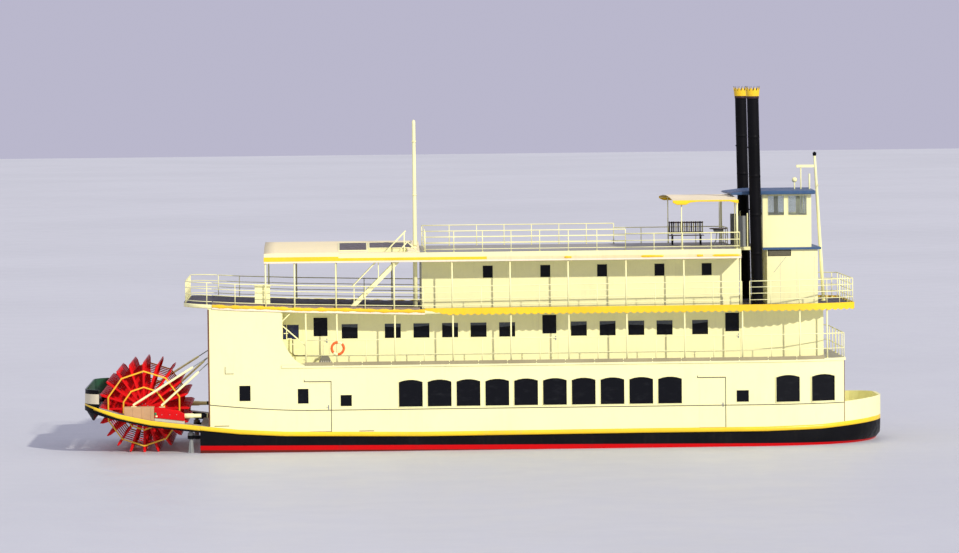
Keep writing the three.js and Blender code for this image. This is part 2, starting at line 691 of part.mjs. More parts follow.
function deck3RailStern() {
  const centre = [DECK_3_AFT_X + DECK_3_CORNER, DECK_HALF - DECK_3_CORNER];
  const radius = DECK_3_CORNER - RAIL_EDGE;
  const corner = ladder(0, 30, 4).map((deg) => [
    centre[0] - radius * Math.sin(THREE.MathUtils.degToRad(deg)),
    centre[1] + radius * Math.cos(THREE.MathUtils.degToRad(deg)),
  ]);
  const across = ladder(-2100, 1050, 5).map((y) => [DECK_3_AFT_X + RAIL_EDGE, -y]);
  const points = [...corner, ...across, ...corner.map(([x, y]) => [x, -y]).reverse()];
  return rail(points, DECK_3_RAIL, (x) => DECK_3_Z + rise(x));
}

function deck3RailBow() {
  const xs = [11780, 12719, 14018, 15300, 16540];
  const side = xs.map((x) => [x, deck3Half(x) - RAIL_EDGE]);
  const across = [2000, 1000, 0, -1000, -2000].map((y) => [16540, y]);
  const points = [...side, ...across, ...side.map(([x, y]) => [x, -y]).reverse()];
  return rail(points, DECK_3_RAIL, flat(DECK_3_Z));
}

function deck4Rail() {
  const y = DECK_HALF - RAIL_EDGE;
  const xs = ladder(DECK_4_RAIL_AFT_X, DECK_4_PITCH, 12);
  const side = (s) => {
    const high = xs.slice(0, LOW_RAIL_FROM + 1).map((x) => [x, s * y]);
    const low = xs.slice(LOW_RAIL_FROM).map((x) => [x, s * y]);
    return [rail(high, DECK_4_RAIL, flat(DECK_4_Z)), rail(low, DECK_4_LOW_RAIL, flat(DECK_4_Z))];
  };
  const across = ladder(-2600, 1398, 6).map((v) => [DECK_4_RAIL_AFT_X, v]);
  const back = rail([...across, [DECK_4_RAIL_AFT_X, y]], DECK_4_RAIL, flat(DECK_4_Z));
  const foreX = xs[xs.length - 1];
  const front = [-1, 1].map((s) => rail([[foreX, s * y], [foreX, s * 3100], [foreX, s * 2050]],
    DECK_4_LOW_RAIL, flat(DECK_4_Z)));
  return { starboard: joined([...side(-1), front[0]]), port: joined([...side(1), front[1], back]) };
}

// Canopy cloth and its frame

function canopyTop(y) {
  return CANOPY.edge + (CANOPY.crown - CANOPY.edge) * (1 - (y / CANOPY.half) ** 2);
}

const CANOPY_YS = ladder(-1, 0.25, 9).map((t) => t * CANOPY.half);

// The cloth's under side, from starboard to port: y, z
function canopyUnder() {
  const inner = CANOPY.half - CANOPY.thick;
  const ys = [-inner, ...CANOPY_YS.slice(1, -1), inner];
  return ys.map((y) => [y, canopyTop(y) - CANOPY.thick]);
}

function canopy() {
  const top = CANOPY_YS.map((y) => [y, canopyTop(y)]);
  const inner = CANOPY.half - CANOPY.thick;
  const low = CANOPY.edge - CANOPY.skirt;
  const under = canopyUnder().reverse();
  const skirts = { port: [[CANOPY.half, low], [inner, low]], starboard: [[-inner, low], [-CANOPY.half, low]] };
  return rib([...top, ...skirts.port, ...under, ...skirts.starboard], CANOPY.x);
}

// A bow that the cloth rests on, from side to side
function canopyBow(x, reach) {
  const under = canopyUnder();
  const ys = [-reach, ...CANOPY_YS.filter((y) => Math.abs(y) < reach), reach];
  const top = ys.map((y) => [y, along(under, y) - GAP]);
  const low = top.map(([y, z]) => [y, z - CANOPY_BAR]).reverse();
  return rib([...top, ...low], [x - CANOPY_BAR / 2, x + CANOPY_BAR / 2]);
}

function canopyFrame() {
  const y = CANOPY.half - 150;
  const reach = y + CANOPY_BAR / 2;
  const barZ = along(canopyUnder(), reach) - GAP - CANOPY_BAR / 2;
  const posts = CANOPY_POSTS_X.flatMap((x) =>
    [-y, y].map((v) => rod([x, v, DECK_4_Z + GAP], [x, v, barZ + 3], CANOPY_POST_RADIUS, 8)));
  const bows = CANOPY_POSTS_X.map((x) => canopyBow(x, reach));
  const sides = [-y, y].map((v) => bar([CANOPY.x[0] + 60, v, barZ], [CANOPY.x[1] - 30, v, barZ], CANOPY_BAR));
  return joined([...posts, ...bows, ...sides]);
}

function bench() {
  const pieces = [];
  const x = [8000, 10600];
  const back = 1700;
  for (const y of ladder(back - 470, 110, 5)) pieces.push(block(x, [y, y + 70], [9300, 9330]));
  for (const z of ladder(9420, 120, 4)) pieces.push(block(x, [back + 60, back + 90], [z, z + 80]));
  for (const end of [x[0] + 150, (x[0] + x[1]) / 2, x[1] - 150]) {
    pieces.push(block([end - 30, end + 30], [back - 480, back + 60.5], [9240, 9300.5]));
    pieces.push(block([end - 30, end + 30], [back - 480, back - 420], [DECK_4_Z + GAP, 9241]));
    pieces.push(block([end - 30, end + 30], [back, back + 60.5], [DECK_4_Z + GAP, 9880]));
  }
  return joined(pieces);
}

// Funnels and masts

function funnel() {
  const { y, radius, wall, foot, bore: boreZ, top, crown } = FUNNEL;
  const at = ([x, z]) => [x, -y, z];
  const lean = (foot[0] - top[0]) / (top[1] - foot[1]);
  const pointX = (z) => foot[0] - lean * (z - foot[1]);
  const tube = rod([pointX(6200), -y, 6200], at(top), radius, 24);
  const floor = block([11000, 13500], [-y - 500, -y + 500], [6000, DECK_3_Z + GAP]);
  const bore = rod([pointX(boreZ), -y, boreZ], [pointX(crown + 50), -y, crown + 50], radius - wall, 24);
  const rim = rod([pointX(15700), -y, 15700], at(top), radius, 24, radius + 25);
  const points = ladder(0, Math.PI / 6, 12).map((a) => {
    const out = [Math.cos(a) * (radius + 10), Math.sin(a) * (radius + 10)];
    return rod([pointX(15900) + out[0], -y + out[1], 15900],
      [pointX(crown) + out[0] * 1.18, -y + out[1] * 1.18, crown], 34, 4, 3);
  });
  return cut(joined([tube, rim, ...points]), [floor, bore]);
}

// What lies under the last sloping stretch of the third deck, where the stair and the aft mast stand
function underDeck3() {
  return loft([-6700, -3000].map((x) => slice(x, [-5000, -3000], [5000, DECK_3_Z + rise(x) + GAP])));
}

function aftMast() {
  const { x, y, radius, top } = AFT_MAST;
  return rod([x, y, DECK_3_Z - 100], [x, y, top], radius, 16, radius * 0.75).subtract(underDeck3());
}

function foreMast() {
  const { foot, top, radius } = FORE_MAST;
  const pole = rod([foot[0] + 6, 0, foot[1] - 100], [top[0], 0, top[1]], radius, 12, radius * 0.7);
  const lamp = rod([top[0], 0, top[1] - 60], [top[0], 0, top[1] + 130], 95, 10);
  return pole.add(lamp).subtract(block([14500, 16500], [-500, 500], [5000, DECK_3_Z + GAP]));
}

// Stair from the third deck to the fourth

function stair() {
  const foot = [-6100, DECK_3_Z + rise(-6100)];
  const head = [-3600, DECK_4_Z];
  const y = [HATCH.y[0] + 60, HATCH.y[1] - 60];
  const steps = 10;
  const pieces = [];
  const slope = (head[1] - foot[1]) / (head[0] - foot[0]);
  for (const side of y) {
    pieces.push(bar([foot[0] + 60, side, foot[1] + 60], [head[0] - 80, side, head[1] - 80], 50, 180));
    pieces.push(bar([foot[0] + 40, side, foot[1] + 950], [head[0] - 10, side, head[1] + 960], 40));
    for (const t of [0.06, 0.5, 0.97]) {
      const x = foot[0] + (head[0] - foot[0]) * t;
      const z = foot[1] + (x - foot[0]) * slope;
      pieces.push(block([x - 20, x + 20], [side - 20, side + 20], [z - 60, z + 950]));
    }
  }
  for (let i = 1; i < steps; i++) {
    const x = foot[0] + ((head[0] - foot[0]) * i) / steps;
    const z = foot[1] + ((head[1] - foot[1]) * i) / steps;
    pieces.push(block([x - 130, x + 100], y, [z - 20, z + 20]));
  }
  return joined(pieces).subtract(underDeck3());
}

// Paddle wheel

function spoke(angle, y0, y1, r0, r1, width) {
  const geometry = new THREE.BoxGeometry(width, y1 - y0, r1 - r0);
  geometry.translate(0, (y0 + y1) / 2, (r0 + r1) / 2).rotateY(angle).translate(WHEEL.x, 0, WHEEL.z);
  return solid(geometry);
}

function wheelDisc(y0, y1, radius, sides = 20) {
  return rod([WHEEL.x, y0, WHEEL.z], [WHEEL.x, y1, WHEEL.z], radius, sides);
}

const FLOAT_ANGLES = ladder(0, (2 * Math.PI) / FLOAT_COUNT, FLOAT_COUNT);

function spider(y0, y1) {
  const reach = FLOAT_RADIUS - 60;
  const arms = FLOAT_ANGLES.map((a) => spoke(a, y0, y1, HUB_RADIUS - 60, reach, ARM_WIDTH));
  return joined([wheelDisc(y0, y1, HUB_RADIUS), ...arms]);
}

function wheelFloats() {
  const edge = SIDE_FRAME_Y - ARM_THICK - GAP;
  const parts = INNER_FRAME_Y.map((y) => spider(y - ARM_THICK / 2, y + ARM_THICK / 2));
  const planks = FLOAT_ANGLES.map((a) =>
    spoke(a, -edge, edge, FLOAT_RADIUS - FLOAT_HEIGHT, FLOAT_RADIUS, FLOAT_THICK));
  return joined([wheelDisc(-SHAFT_HALF, SHAFT_HALF, SHAFT_RADIUS, SHAFT_SIDES), ...parts, ...planks]);
}

function ringSegments(radius, y0, y1) {
  const step = (2 * Math.PI) / RING_SIDES;
  return ladder(step / 2, step, RING_SIDES).map((a) => {
    const reach = radius * Math.tan(step / 2);
    const geometry = new THREE.BoxGeometry(2 * reach + RING_BAR[0] * 0.3, y1 - y0, RING_BAR[0]);
    const middle = radius * Math.cos(step / 2);
    geometry.translate(0, (y0 + y1) / 2, middle).rotateY(a).translate(WHEEL.x, 0, WHEEL.z);
    return solid(geometry);
  });
}

function wheelSide() {
  const y1 = ARM_THICK - SIDE_FRAME_Y;
  const rings = RING_RADII.flatMap((r) => ringSegments(r, -SIDE_FRAME_Y - RING_BAR[1], 1 - SIDE_FRAME_Y));
  const frame = joined([spider(-SIDE_FRAME_Y, y1), ...rings]);
  return frame.subtract(wheelDisc(-SIDE_FRAME_Y - 10, y1 + 10, SHAFT_RADIUS + GAP, SHAFT_SIDES));
}

// Bearing box, drive case and drive motor on each fantail beam

function wheelDrive() {
  const base = (x) => sheer(x) + GAP;
  const box = loft([-16300, -15100, -14950].map((x) => slice(x, [-4380, -3660], [base(x), 2100])));
  const bore = wheelDisc(-SHAFT_HALF - 20, -3600, SHAFT_RADIUS + PIN, SHAFT_SIDES);
  const drive = loft([[-14951, 2070], [-14700, 2070], [-13900, 1930], [-13600, 1760]].map(([x, top]) =>
    slice(x, [-4300, -3760], [base(x), top])));
  const motor = rod([-13601, -4030, 1670], [HOUSE_AFT_X - GAP, -4030, 1670], 110, 16);
  return joined([box, drive, motor]).subtract(bore);
}

function braces() {
  const wall = HOUSE_AFT_X - GAP;
  const y = [-4160, -4000];
  const pad = block([wall - 30, wall], y, [3900, 4400]);
  const rods = BRACES.map(([footX, seat, headZ]) =>
    bar([footX, -4080, seat + GAP + 90], [wall - 15, -4080, headZ], 60, 90));
  const feet = BRACES.map(([footX, seat]) => block([footX - 120, footX + 120], y, [seat + GAP, seat + 120]));
  const below = BRACES.map(([footX, seat]) =>
    block([footX - 300, footX + 300], [-4600, -3600], [1500, seat + GAP]));
  const inWall = block([wall, wall + 200], [-4600, -3600], [3500, 4600]);
  return cut(joined([pad, ...rods, ...feet]), [...below, inWall]);
}

// Steered legs and their propellers

function leg() {
  const { x, y, top, seat, stem, pod, tail } = LEG;
  const shaft = rod([x, -y, pod], [x, -y, top], stem, SHAFT_SIDES);
  const stop = rod([x, -y, seat + GAP], [x, -y, top - 60], stem + 60, SHAFT_SIDES);
  const fairing = profile([[x - 130, pod], [x + 150, pod], [x + 110, 100], [x + 80, 560], [x - 80, 560],
    [x - 120, 100]], [-y - 45, 45 - y]);
  const body = rod([x - tail, -y, pod], [x + 330, -y, pod], 120, 16, 60);
  const finOutline = [[x - 150, pod - 340], [x + 60, pod - 340], [x + 200, pod], [x - 220, pod]];
  const fin = profile(finOutline, [-y - 20, 20 - y]);
  return joined([shaft, stop, fairing, body, fin]);
}

function propeller() {
  const { x, y, pod, tail } = LEG;
  const aft = x - tail - PROPELLER.clear;
  const hub = rod([aft - PROPELLER.length, -y, pod], [aft, -y, pod], PROPELLER.hub * 0.6, 12, PROPELLER.hub);
  const shaft = rod([aft - 10, -y, pod], [x - tail - GAP, -y, pod], PROPELLER.shaft, 12);
  const blades = ladder(0, (2 * Math.PI) / PROPELLER.blades, PROPELLER.blades).map((a) => {
    const geometry = new THREE.BoxGeometry(24, 170, PROPELLER.radius - 20);
    geometry.rotateZ(0.6).translate(0, 0, PROPELLER.radius / 2 + 10);
    return solid(geometry.rotateX(a).translate(aft - PROPELLER.length / 2, -y, pod));
  });
  return joined([hub, shaft, ...blades]);
}

function engineBlock() {
  return loft([-12000, -11100, -10000].map((x) => slice(x, [-1100, 1100], [sheer(x) + GAP, 2600])));
}

function bowBitts() {
  const { x, y, radius, foot: footZ, cross: crossZ, top } = BITTS;
  const foot = loft([x - 150, x + 150].map((v) => slice(v, [-y - 250, y + 250], [sheer(v) + GAP, footZ])));
  const posts = [-y, y].map((v) => rod([x, v, footZ - 20], [x, v, top], radius, 16));
  const cross = bar([x, -y - 200, crossZ], [x, y + 200, crossZ], radius * 0.8);
  return joined([foot, ...posts, cross]);
}

add("hull", "black_paint", hull());
add("main_deck", "deck_grey", mainDeck());
add("fantail", "black_paint", fantail());
addPair("main_wall", "white_paint", mainSideWall());
add("aft_bulkhead", "white_paint", aftBulkhead());
add("fore_bulkhead", "white_paint", foreBulkhead());
addPair("main_glass", "dark_glass", mainGlass());
addPair("shell_door_aft", "white_paint", shellDoor(SHELL_DOORS.aft));
addPair("shell_door_fore", "white_paint", shellDoor(SHELL_DOORS.fore));
add("bow_bulwark", "white_paint", bowBulwark());
add("bow_bitts", "black_paint", bowBitts());
add("engine_block", "grey_metal", engineBlock());

add("deck_2", "deck_grey", deck2());
addPair("upper_wall", "white_paint", upperSideWall());
add("upper_fore_wall", "white_paint", upperForeWall());
addPair("upper_door_aft", "white_paint", upperDoor(UPPER_DOORS.aft));
addPair("upper_door_mid", "white_paint", upperDoor(UPPER_DOORS.mid));
addPair("upper_door_fore", "white_paint", upperDoor(UPPER_DOORS.fore));
addPair("deck_2_rail", "white_paint", deck2Rail());

add("deck_3", "yellow_paint", deck3());
addPair("deck_3_rail", "white_paint", deck3RailSide());
add("deck_3_stern_rail", "white_paint", deck3RailStern());
add("deck_3_bow_rail", "white_paint", deck3RailBow());
add("deck_3_cabin", "white_paint", cabin());
add("tower", "white_paint", tower());
add("deck_3_stair", "white_paint", stair());

add("deck_4", "white_paint", deck4());
const topRail = deck4Rail();
add("deck_4_rail_starboard", "white_paint", topRail.starboard);
add("deck_4_rail_port", "white_paint", topRail.port);
add("canopy", "canvas", canopy());
add("canopy_frame", "white_paint", canopyFrame());
add("bench", "tan_cover", bench());
add("pilothouse", "white_paint", pilothouse());
add("pilothouse_roof", "blue_paint", pilotRoof());
add("pilothouse_door", "white_paint", pilotDoor());
addPair("funnel", "black_paint", funnel());
add("aft_mast", "white_paint", aftMast());
add("fore_mast", "white_paint", foreMast());

add("wheel_floats", "red_paint", wheelFloats());
addPair("wheel_side", "red_paint", wheelSide());
addPair("wheel_drive", "tan_cover", wheelDrive());
addPair("wheel_brace", "white_paint", braces());
addPair("drive_leg", "grey_metal", leg());
addPair("propeller", "grey_metal", propeller());

export default ship;
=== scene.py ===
"""A sternwheel passenger steamer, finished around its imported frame.

Metres. +X is the bow, +Y is port, +Z is up, and z = 0 is the waterline.
"""
import math
import random

import bmesh
import bpy
from mathutils import Matrix, Vector


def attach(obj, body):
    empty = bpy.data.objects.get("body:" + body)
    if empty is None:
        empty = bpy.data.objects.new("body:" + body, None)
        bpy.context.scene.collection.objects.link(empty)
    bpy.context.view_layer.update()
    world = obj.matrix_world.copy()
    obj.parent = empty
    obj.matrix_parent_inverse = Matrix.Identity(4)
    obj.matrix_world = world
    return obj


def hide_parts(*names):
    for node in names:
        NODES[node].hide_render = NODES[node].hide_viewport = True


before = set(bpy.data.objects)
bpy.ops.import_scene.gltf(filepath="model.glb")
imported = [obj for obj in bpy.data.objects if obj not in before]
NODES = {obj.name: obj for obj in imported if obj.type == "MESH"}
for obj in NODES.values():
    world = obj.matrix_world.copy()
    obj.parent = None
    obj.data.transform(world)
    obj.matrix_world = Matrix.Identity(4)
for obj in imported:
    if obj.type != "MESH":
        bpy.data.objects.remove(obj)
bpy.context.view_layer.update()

# Decks and outline
HULL_HALF, GUARD_HALF, DECK_HALF, RECESS_HALF = 4.4, 4.5, 4.45, 3.2
SHOULDER_X, BOW_X, STEM_HALF = 11.5, 18.1, 0.25
TRANSOM_X, STERN_X, STERN_RADIUS = -12.9, -18.1, 1.2
WELL_HALF, WELL_AFT_X = 3.62, -17.66
BULWARK_TOP, BULWARK_FORE_X = 2.89, -17.4
BOARD_PORT_Y, BOARD_Z = -3.3, (2.26, 2.7)  # the bare board on the bulwark
BEAM_DEEP, GUARD_THICK = 0.3, 0.2
SEAM = 0.0003  # the gap that the solids keep between them
STERN_BODY = ((1.48, 0.35), (1.96, 0.06))  # z and the way in from the guard's edge
HOUSE_AFT_X, TALL_END_X, HOUSE_FORE_X = -12.5, -9.23, 16.1
DECK_2, DECK_3, DECK_4 = 3.9, 6.3, 8.88
DECK_3_X = (-13.6, 16.6)
DECK_3_CORNER, DECK_3_THICK = 1.3, 0.18
VALANCE_AFT_X, VALANCE_TOP, VALANCE_FOOT, SCALLOP = -1.79, 6.38, 6.06, 0.317
GARLAND_X = (-12.3, -2.79)  # the valance starts where it ends
ROOF_X, ROOF_CAMBER = (-9.96, -3.0), 0.36
DECK_4_FORE_X = 11.4
DECK_4_BULGES = ((3.45, 3.81), (6.85, 7.96), (9.39, 9.7), (10.06, 11.39))
ROOF_PANELS = (((-6.61, -5.35), (-3.9, -1.3)), ((-5.26, -3.34), (-3.36, -1.3)))
FASCIA_X = -6.63  # aft of this the roof's colour runs down to the yellow band
HATCH = ((-5.3, -3.56), (-4.3, -3.4))  # x and y of the stair's hole in the roof
RAIL_EDGE = 0.085
POST_PITCH = 2.597
WALL = 0.06

# Heights of the main deck's edge: x, z
SHEER = [
    (-18.1, 2.27), (-16.6, 1.82), (-15.1, 1.5), (-13.6, 1.32), (-12.5, 1.19), (-11.1, 1.04),
    (-9.06, 0.93), (-3.0, 0.85), (6.8, 0.88), (12.5, 0.88), (15.0, 0.93), (18.1, 1.15),
]
# How far the third deck rises aft: x, rise
RISE = [
    (-13.6, 0.42), (-12.3, 0.355), (-11.2, 0.28), (-10.0, 0.23), (-8.4, 0.16), (-6.7, 0.11),
    (-3.0, 0.0), (16.6, 0.0),
]
# Hull sections: x, half breadth of the chine as a share of the deck's, chine z, keel z
HULL_SECTIONS = [
    (-12.9, 0.92, -0.38, -0.62), (-10.5, 0.94, -0.62, -0.9), (-6.0, 0.95, -0.82, -1.2),
    (0.0, 0.96, -0.9, -1.35), (8.0, 0.96, -0.9, -1.35), (11.5, 0.94, -0.86, -1.35),
    (13.5, 0.88, -0.76, -1.29), (15.2, 0.8, -0.6, -1.13), (16.5, 0.72, -0.38, -0.86),
    (17.4, 0.66, -0.08, -0.48), (17.85, 0.62, 0.2, -0.06), (18.1, 0.6, 0.42, 0.26),
]

# Paddle wheel
WHEEL_X, WHEEL_Z = -15.45, 1.96
FLOATS, FLOAT_RADIUS, FLOAT_HEIGHT = 20, 2.08, 0.44
RING_SIDES = 10
RINGS = (1.68, 0.96)
SIDE_FRAME_Y = 3.15
SPIDERS_Y = (-2.1, -1.05, 0.0, 1.05, 2.1)

# Drive legs and outlets
LEG_X, LEG_Y, LEG_BRACKET_Z = -13.32, 3.95, (0.63, 0.78)
SCREW_FORE_X, SCREW_Z = -13.585, -0.76
OUTLETS_X, OUTLET_Z = (-10.9, -4.2, 3.0, 9.4), 0.38

# Windows: centre x, width, bottom z, top z
ARCHES_X = [-3.469 + 1.2915 * i for i in range(10)] + [13.47, 15.1]
ARCH = (1.06, 1.98, 3.18, 0.1)  # width, bottom z, top z, how far the head falls at its sides
SMALL_MAIN_WINDOWS = [
    (-10.88, 0.5, 2.32, 3.01), (-6.36, 0.5, 2.04, 2.54), (11.42, 0.55, 2.01, 2.53),
]
PLATED_WINDOW = (-8.28, 0.48, 2.18, 2.84, -8.75)  # the last is the middle of the opening under the plate
SWEEP = (1.05, 1.23, 0.02)  # length, height, toe
UPPER_WINDOWS_X = [-8.62, -6.165, -4.228, -2.939, -1.649, -0.368, 0.921, 4.152, 5.45, 6.745, 8.021, 9.625]
UPPER_WINDOW = (0.72, 5.0, 5.65)  # width, bottom z, top z
CABIN_WINDOWS_X = [0.076, 2.665, 5.226, 7.814, 9.944]
CABIN_WINDOW = (0.45, 7.66, 8.21)
# Panes in walls across the ship: x, their middles' y, width
PILOT_FORE_PANES = ((14.73, 14.74), (-1.76, -0.587, 0.587, 1.76), 1.02)
PILOT_AFT_PANES = ((12.6, 12.61), (-1.45, 1.45), 1.2)
UPPER_FORE_PANES = ((15.16, 15.17), (-2.2, -1.1, 0.0, 1.1, 2.2), 0.74)

# Doors: after edge x, width, bottom and top z, half breadth of their wall
SHELL_DOORS = {
    "shell_door_aft": (-7.982, 0.934, (1.0, 3.09), HULL_HALF),
    "shell_door_fore": (9.468, 1.164, (0.89, 3.09), HULL_HALF),
}
UPPER_DOORS = {
    "upper_door_aft": (-7.852, 0.754, (3.91, 6.0), RECESS_HALF),
    "upper_door_mid": (2.448, 0.754, (3.91, 6.0), RECESS_HALF),
    "upper_door_fore": (10.698, 0.754, (3.91, 6.0), RECESS_HALF),
}
DOOR_LIGHT = (0.062, 5.12, 5.96)  # way in from the door's edge, bottom z, top z

# Marks on the main wall: ends and z of the dark lines painted as the shell doors' recess shadow, an angle
# iron's x and z, scuffs' x and z
DOOR_SHADOW_LINES = ((-8.24, -7.01, 3.14), (9.38, 10.67, 3.11))
ANGLE_IRON = ((-11.75, -11.37), (3.55, 3.865))
SCUFFS = (((-12.26, -11.59), 1.2), ((-5.79, -5.12), 0.905))
KICK_BOARD_Z = (3.865, 4.025)

# Rails: heights of the bars over the deck
DECK_2_BARS = (0.43, 1.1)
DECK_3_BARS = (0.27, 0.56, 0.84, 1.11)
DECK_4_BARS = (0.13, 0.4, 0.67, 0.94)
DECK_4_LOW_BARS = (0.13, 0.43, 0.74)
DECK_2_EVEN_X, DECK_3_EVEN_X = -6.74, -6.76  # where the evenly spaced posts start
DECK_2_POSTS_X = [-8.13] + [DECK_2_EVEN_X + POST_PITCH * i for i in range(9)] + [15.3]
DECK_3_POSTS_X = [-9.9, -8.61] + [DECK_3_EVEN_X + POST_PITCH * i for i in range(7)]
DECK_4_RAIL_X = [-2.75 + 1.281 * i for i in range(12)]
LOW_RAIL_FROM = 7
BAR_RADIUS, TOP_BAR_RADIUS, STAND_RADIUS, POST_RADIUS = 0.017, 0.022, 0.02, 0.036

# Tower, pilothouse, funnels, masts and canopy
TOWER_HALF, LEDGE_Z = 2.4, 8.75
PILOT_HALF, PILOT_SILL, PILOT_HEAD = 2.4, 10.31, 11.2
PILOT_ROOF_X, PILOT_ROOF_Z = (11.13, 14.93), 11.2505
PILOT_LIGHTS_X = ((12.81, 13.53), (13.73, 14.56))
FUNNEL_Y, FUNNEL_RADIUS, FUNNEL_SIDES = 3.05, 0.265, 40
FUNNEL_FOOT, FUNNEL_TOP = (12.25, 6.3), (12.09, 16.0)  # x and z of the middle
CROWN_FOOT_Z, CROWN_Z = 15.7, 16.16
AFT_MAST = (-3.19, -3.25, 14.8)  # x, y, top z
FORE_MAST = ((15.56, 6.3), (15.19, 13.0))  # x and z of its foot and of its top
CANOPY_X, CANOPY_HALF, CANOPY_EDGE, CANOPY_CROWN = (8.33, 11.32), 4.38, 11.06, 11.22
CANOPY_POSTS_X = (8.75, 11.24)
# How far the canopy's edge hangs down: x, depth
CANOPY_HEM = [
    (8.33, 0.08), (8.55, 0.19), (8.95, 0.19), (9.12, 0.09),
    (9.5, 0.05), (10.9, 0.05), (11.2, 0.13), (11.32, 0.13),
]
BENCH_X, BENCH_SIZE = (8.6, 10.2), (1.7, 9.3, 9.95)  # its back's y, seat z and top z
TABLE = (10.62, -1.5, 9.68)  # its middle's x and y, top z
LOCKER = ((-10.39, -9.71), (-4.2, -3.62), 7.42)  # x, y, top z
LIFE_RING = (-6.71, -4.425, 4.64)  # its middle


# Camera at the photograph's place

IMAGE_WIDTH = 959
FOCAL_PIXELS = 4480
SENSOR = 36.0
CAMERA_PLACE = (-6.34, -204.5, 16.2)
YAW, PITCH, ROLL = 0.03, math.radians(2.41), 0.0106


def make_camera():
    data = bpy.data.cameras.new("camera")
    data.sensor_width = SENSOR
    data.lens = FOCAL_PIXELS * SENSOR / IMAGE_WIDTH
    data.clip_end = 2000
    camera = bpy.data.objects.new("camera", data)
    bpy.context.scene.collection.objects.link(camera)
    way = Vector((math.sin(YAW) * math.cos(PITCH), math.cos(YAW) * math.cos(PITCH), -math.sin(PITCH)))
    level = way.cross(Vector((0, 0, 1))).normalized()
    upright = level.cross(way)
    right = level * math.cos(ROLL) - upright * math.sin(ROLL)
    turn = Matrix((right, right.cross(way), -way)).transposed()
    camera.matrix_world = Matrix.Translation(CAMERA_PLACE) @ turn.to_4x4()
    bpy.context.scene.camera = camera


make_camera()


# Curves of the ship

def along(table, x, column=1):
    if x <= table[0][0]:
        return table[0][column]
    for a, b in zip(table, table[1:]):
        if x <= b[0]:
            return a[column] + (b[column] - a[column]) * (x - a[0]) / (b[0] - a[0])
    return table[-1][column]


def sheer(x):
    return along(SHEER, x)


def rise(x):
    return along(RISE, x)


def bow_half(x, full):
    if x <= SHOULDER_X:
        return full
    t = min(1.0, (x - SHOULDER_X) / (BOW_X - SHOULDER_X))
    return max(STEM_HALF, full * (1 - t ** 2.5) ** 0.45)


def rounded_aft(x, aft, radius, full):
    into = aft + radius - x
    return full if into <= 0 else full - radius + math.sqrt(max(0.0, radius ** 2 - into ** 2))


def deck_3_half(x, full=DECK_HALF):
    return min(rounded_aft(x, DECK_3_X[0], DECK_3_CORNER, full), bow_half(x, full))


def spread(first, last, count):
    return [first + (last - first) * i / (count - 1) for i in range(count)]


def circle(radius, sides):
    return [(radius * math.cos(a), radius * math.sin(a)) for a in spread(0, 2 * math.pi, sides + 1)[:-1]]


def both_sides(x, half, skip=0):
    """A closed section at x: the half section to port, and its mirror image back without its first points."""
    return [(x, y, z) for y, z in half] + [(x, -y, z) for y, z in reversed(half[skip:])]


def stations(first, last, step):
    """Evenly spaced values from first to last, four times as close where the bow closes in."""
    plain = spread(first, last, max(2, round((last - first) / step) + 1))
    bow = [x for x in spread(15.0, BOW_X, 40) if first < x < last]
    edges = [x for x, _ in SHEER if first < x < last]
    return sorted(set(plain + bow + edges))


def funnel_x(z):
    """The funnel's middle at height z."""
    (fx, fz), (tx, tz) = FUNNEL_FOOT, FUNNEL_TOP
    return fx + (tx - fx) * (z - fz) / (tz - fz)


def canopy_z(y):
    return CANOPY_EDGE + (CANOPY_CROWN - CANOPY_EDGE) * (1 - (y / CANOPY_HALF) ** 2)


def roof_z(y):
    return DECK_4 + ROOF_CAMBER * (1 - (y / DECK_HALF) ** 2)


# Paints: every one has its own mottling, streaks, chips and bump

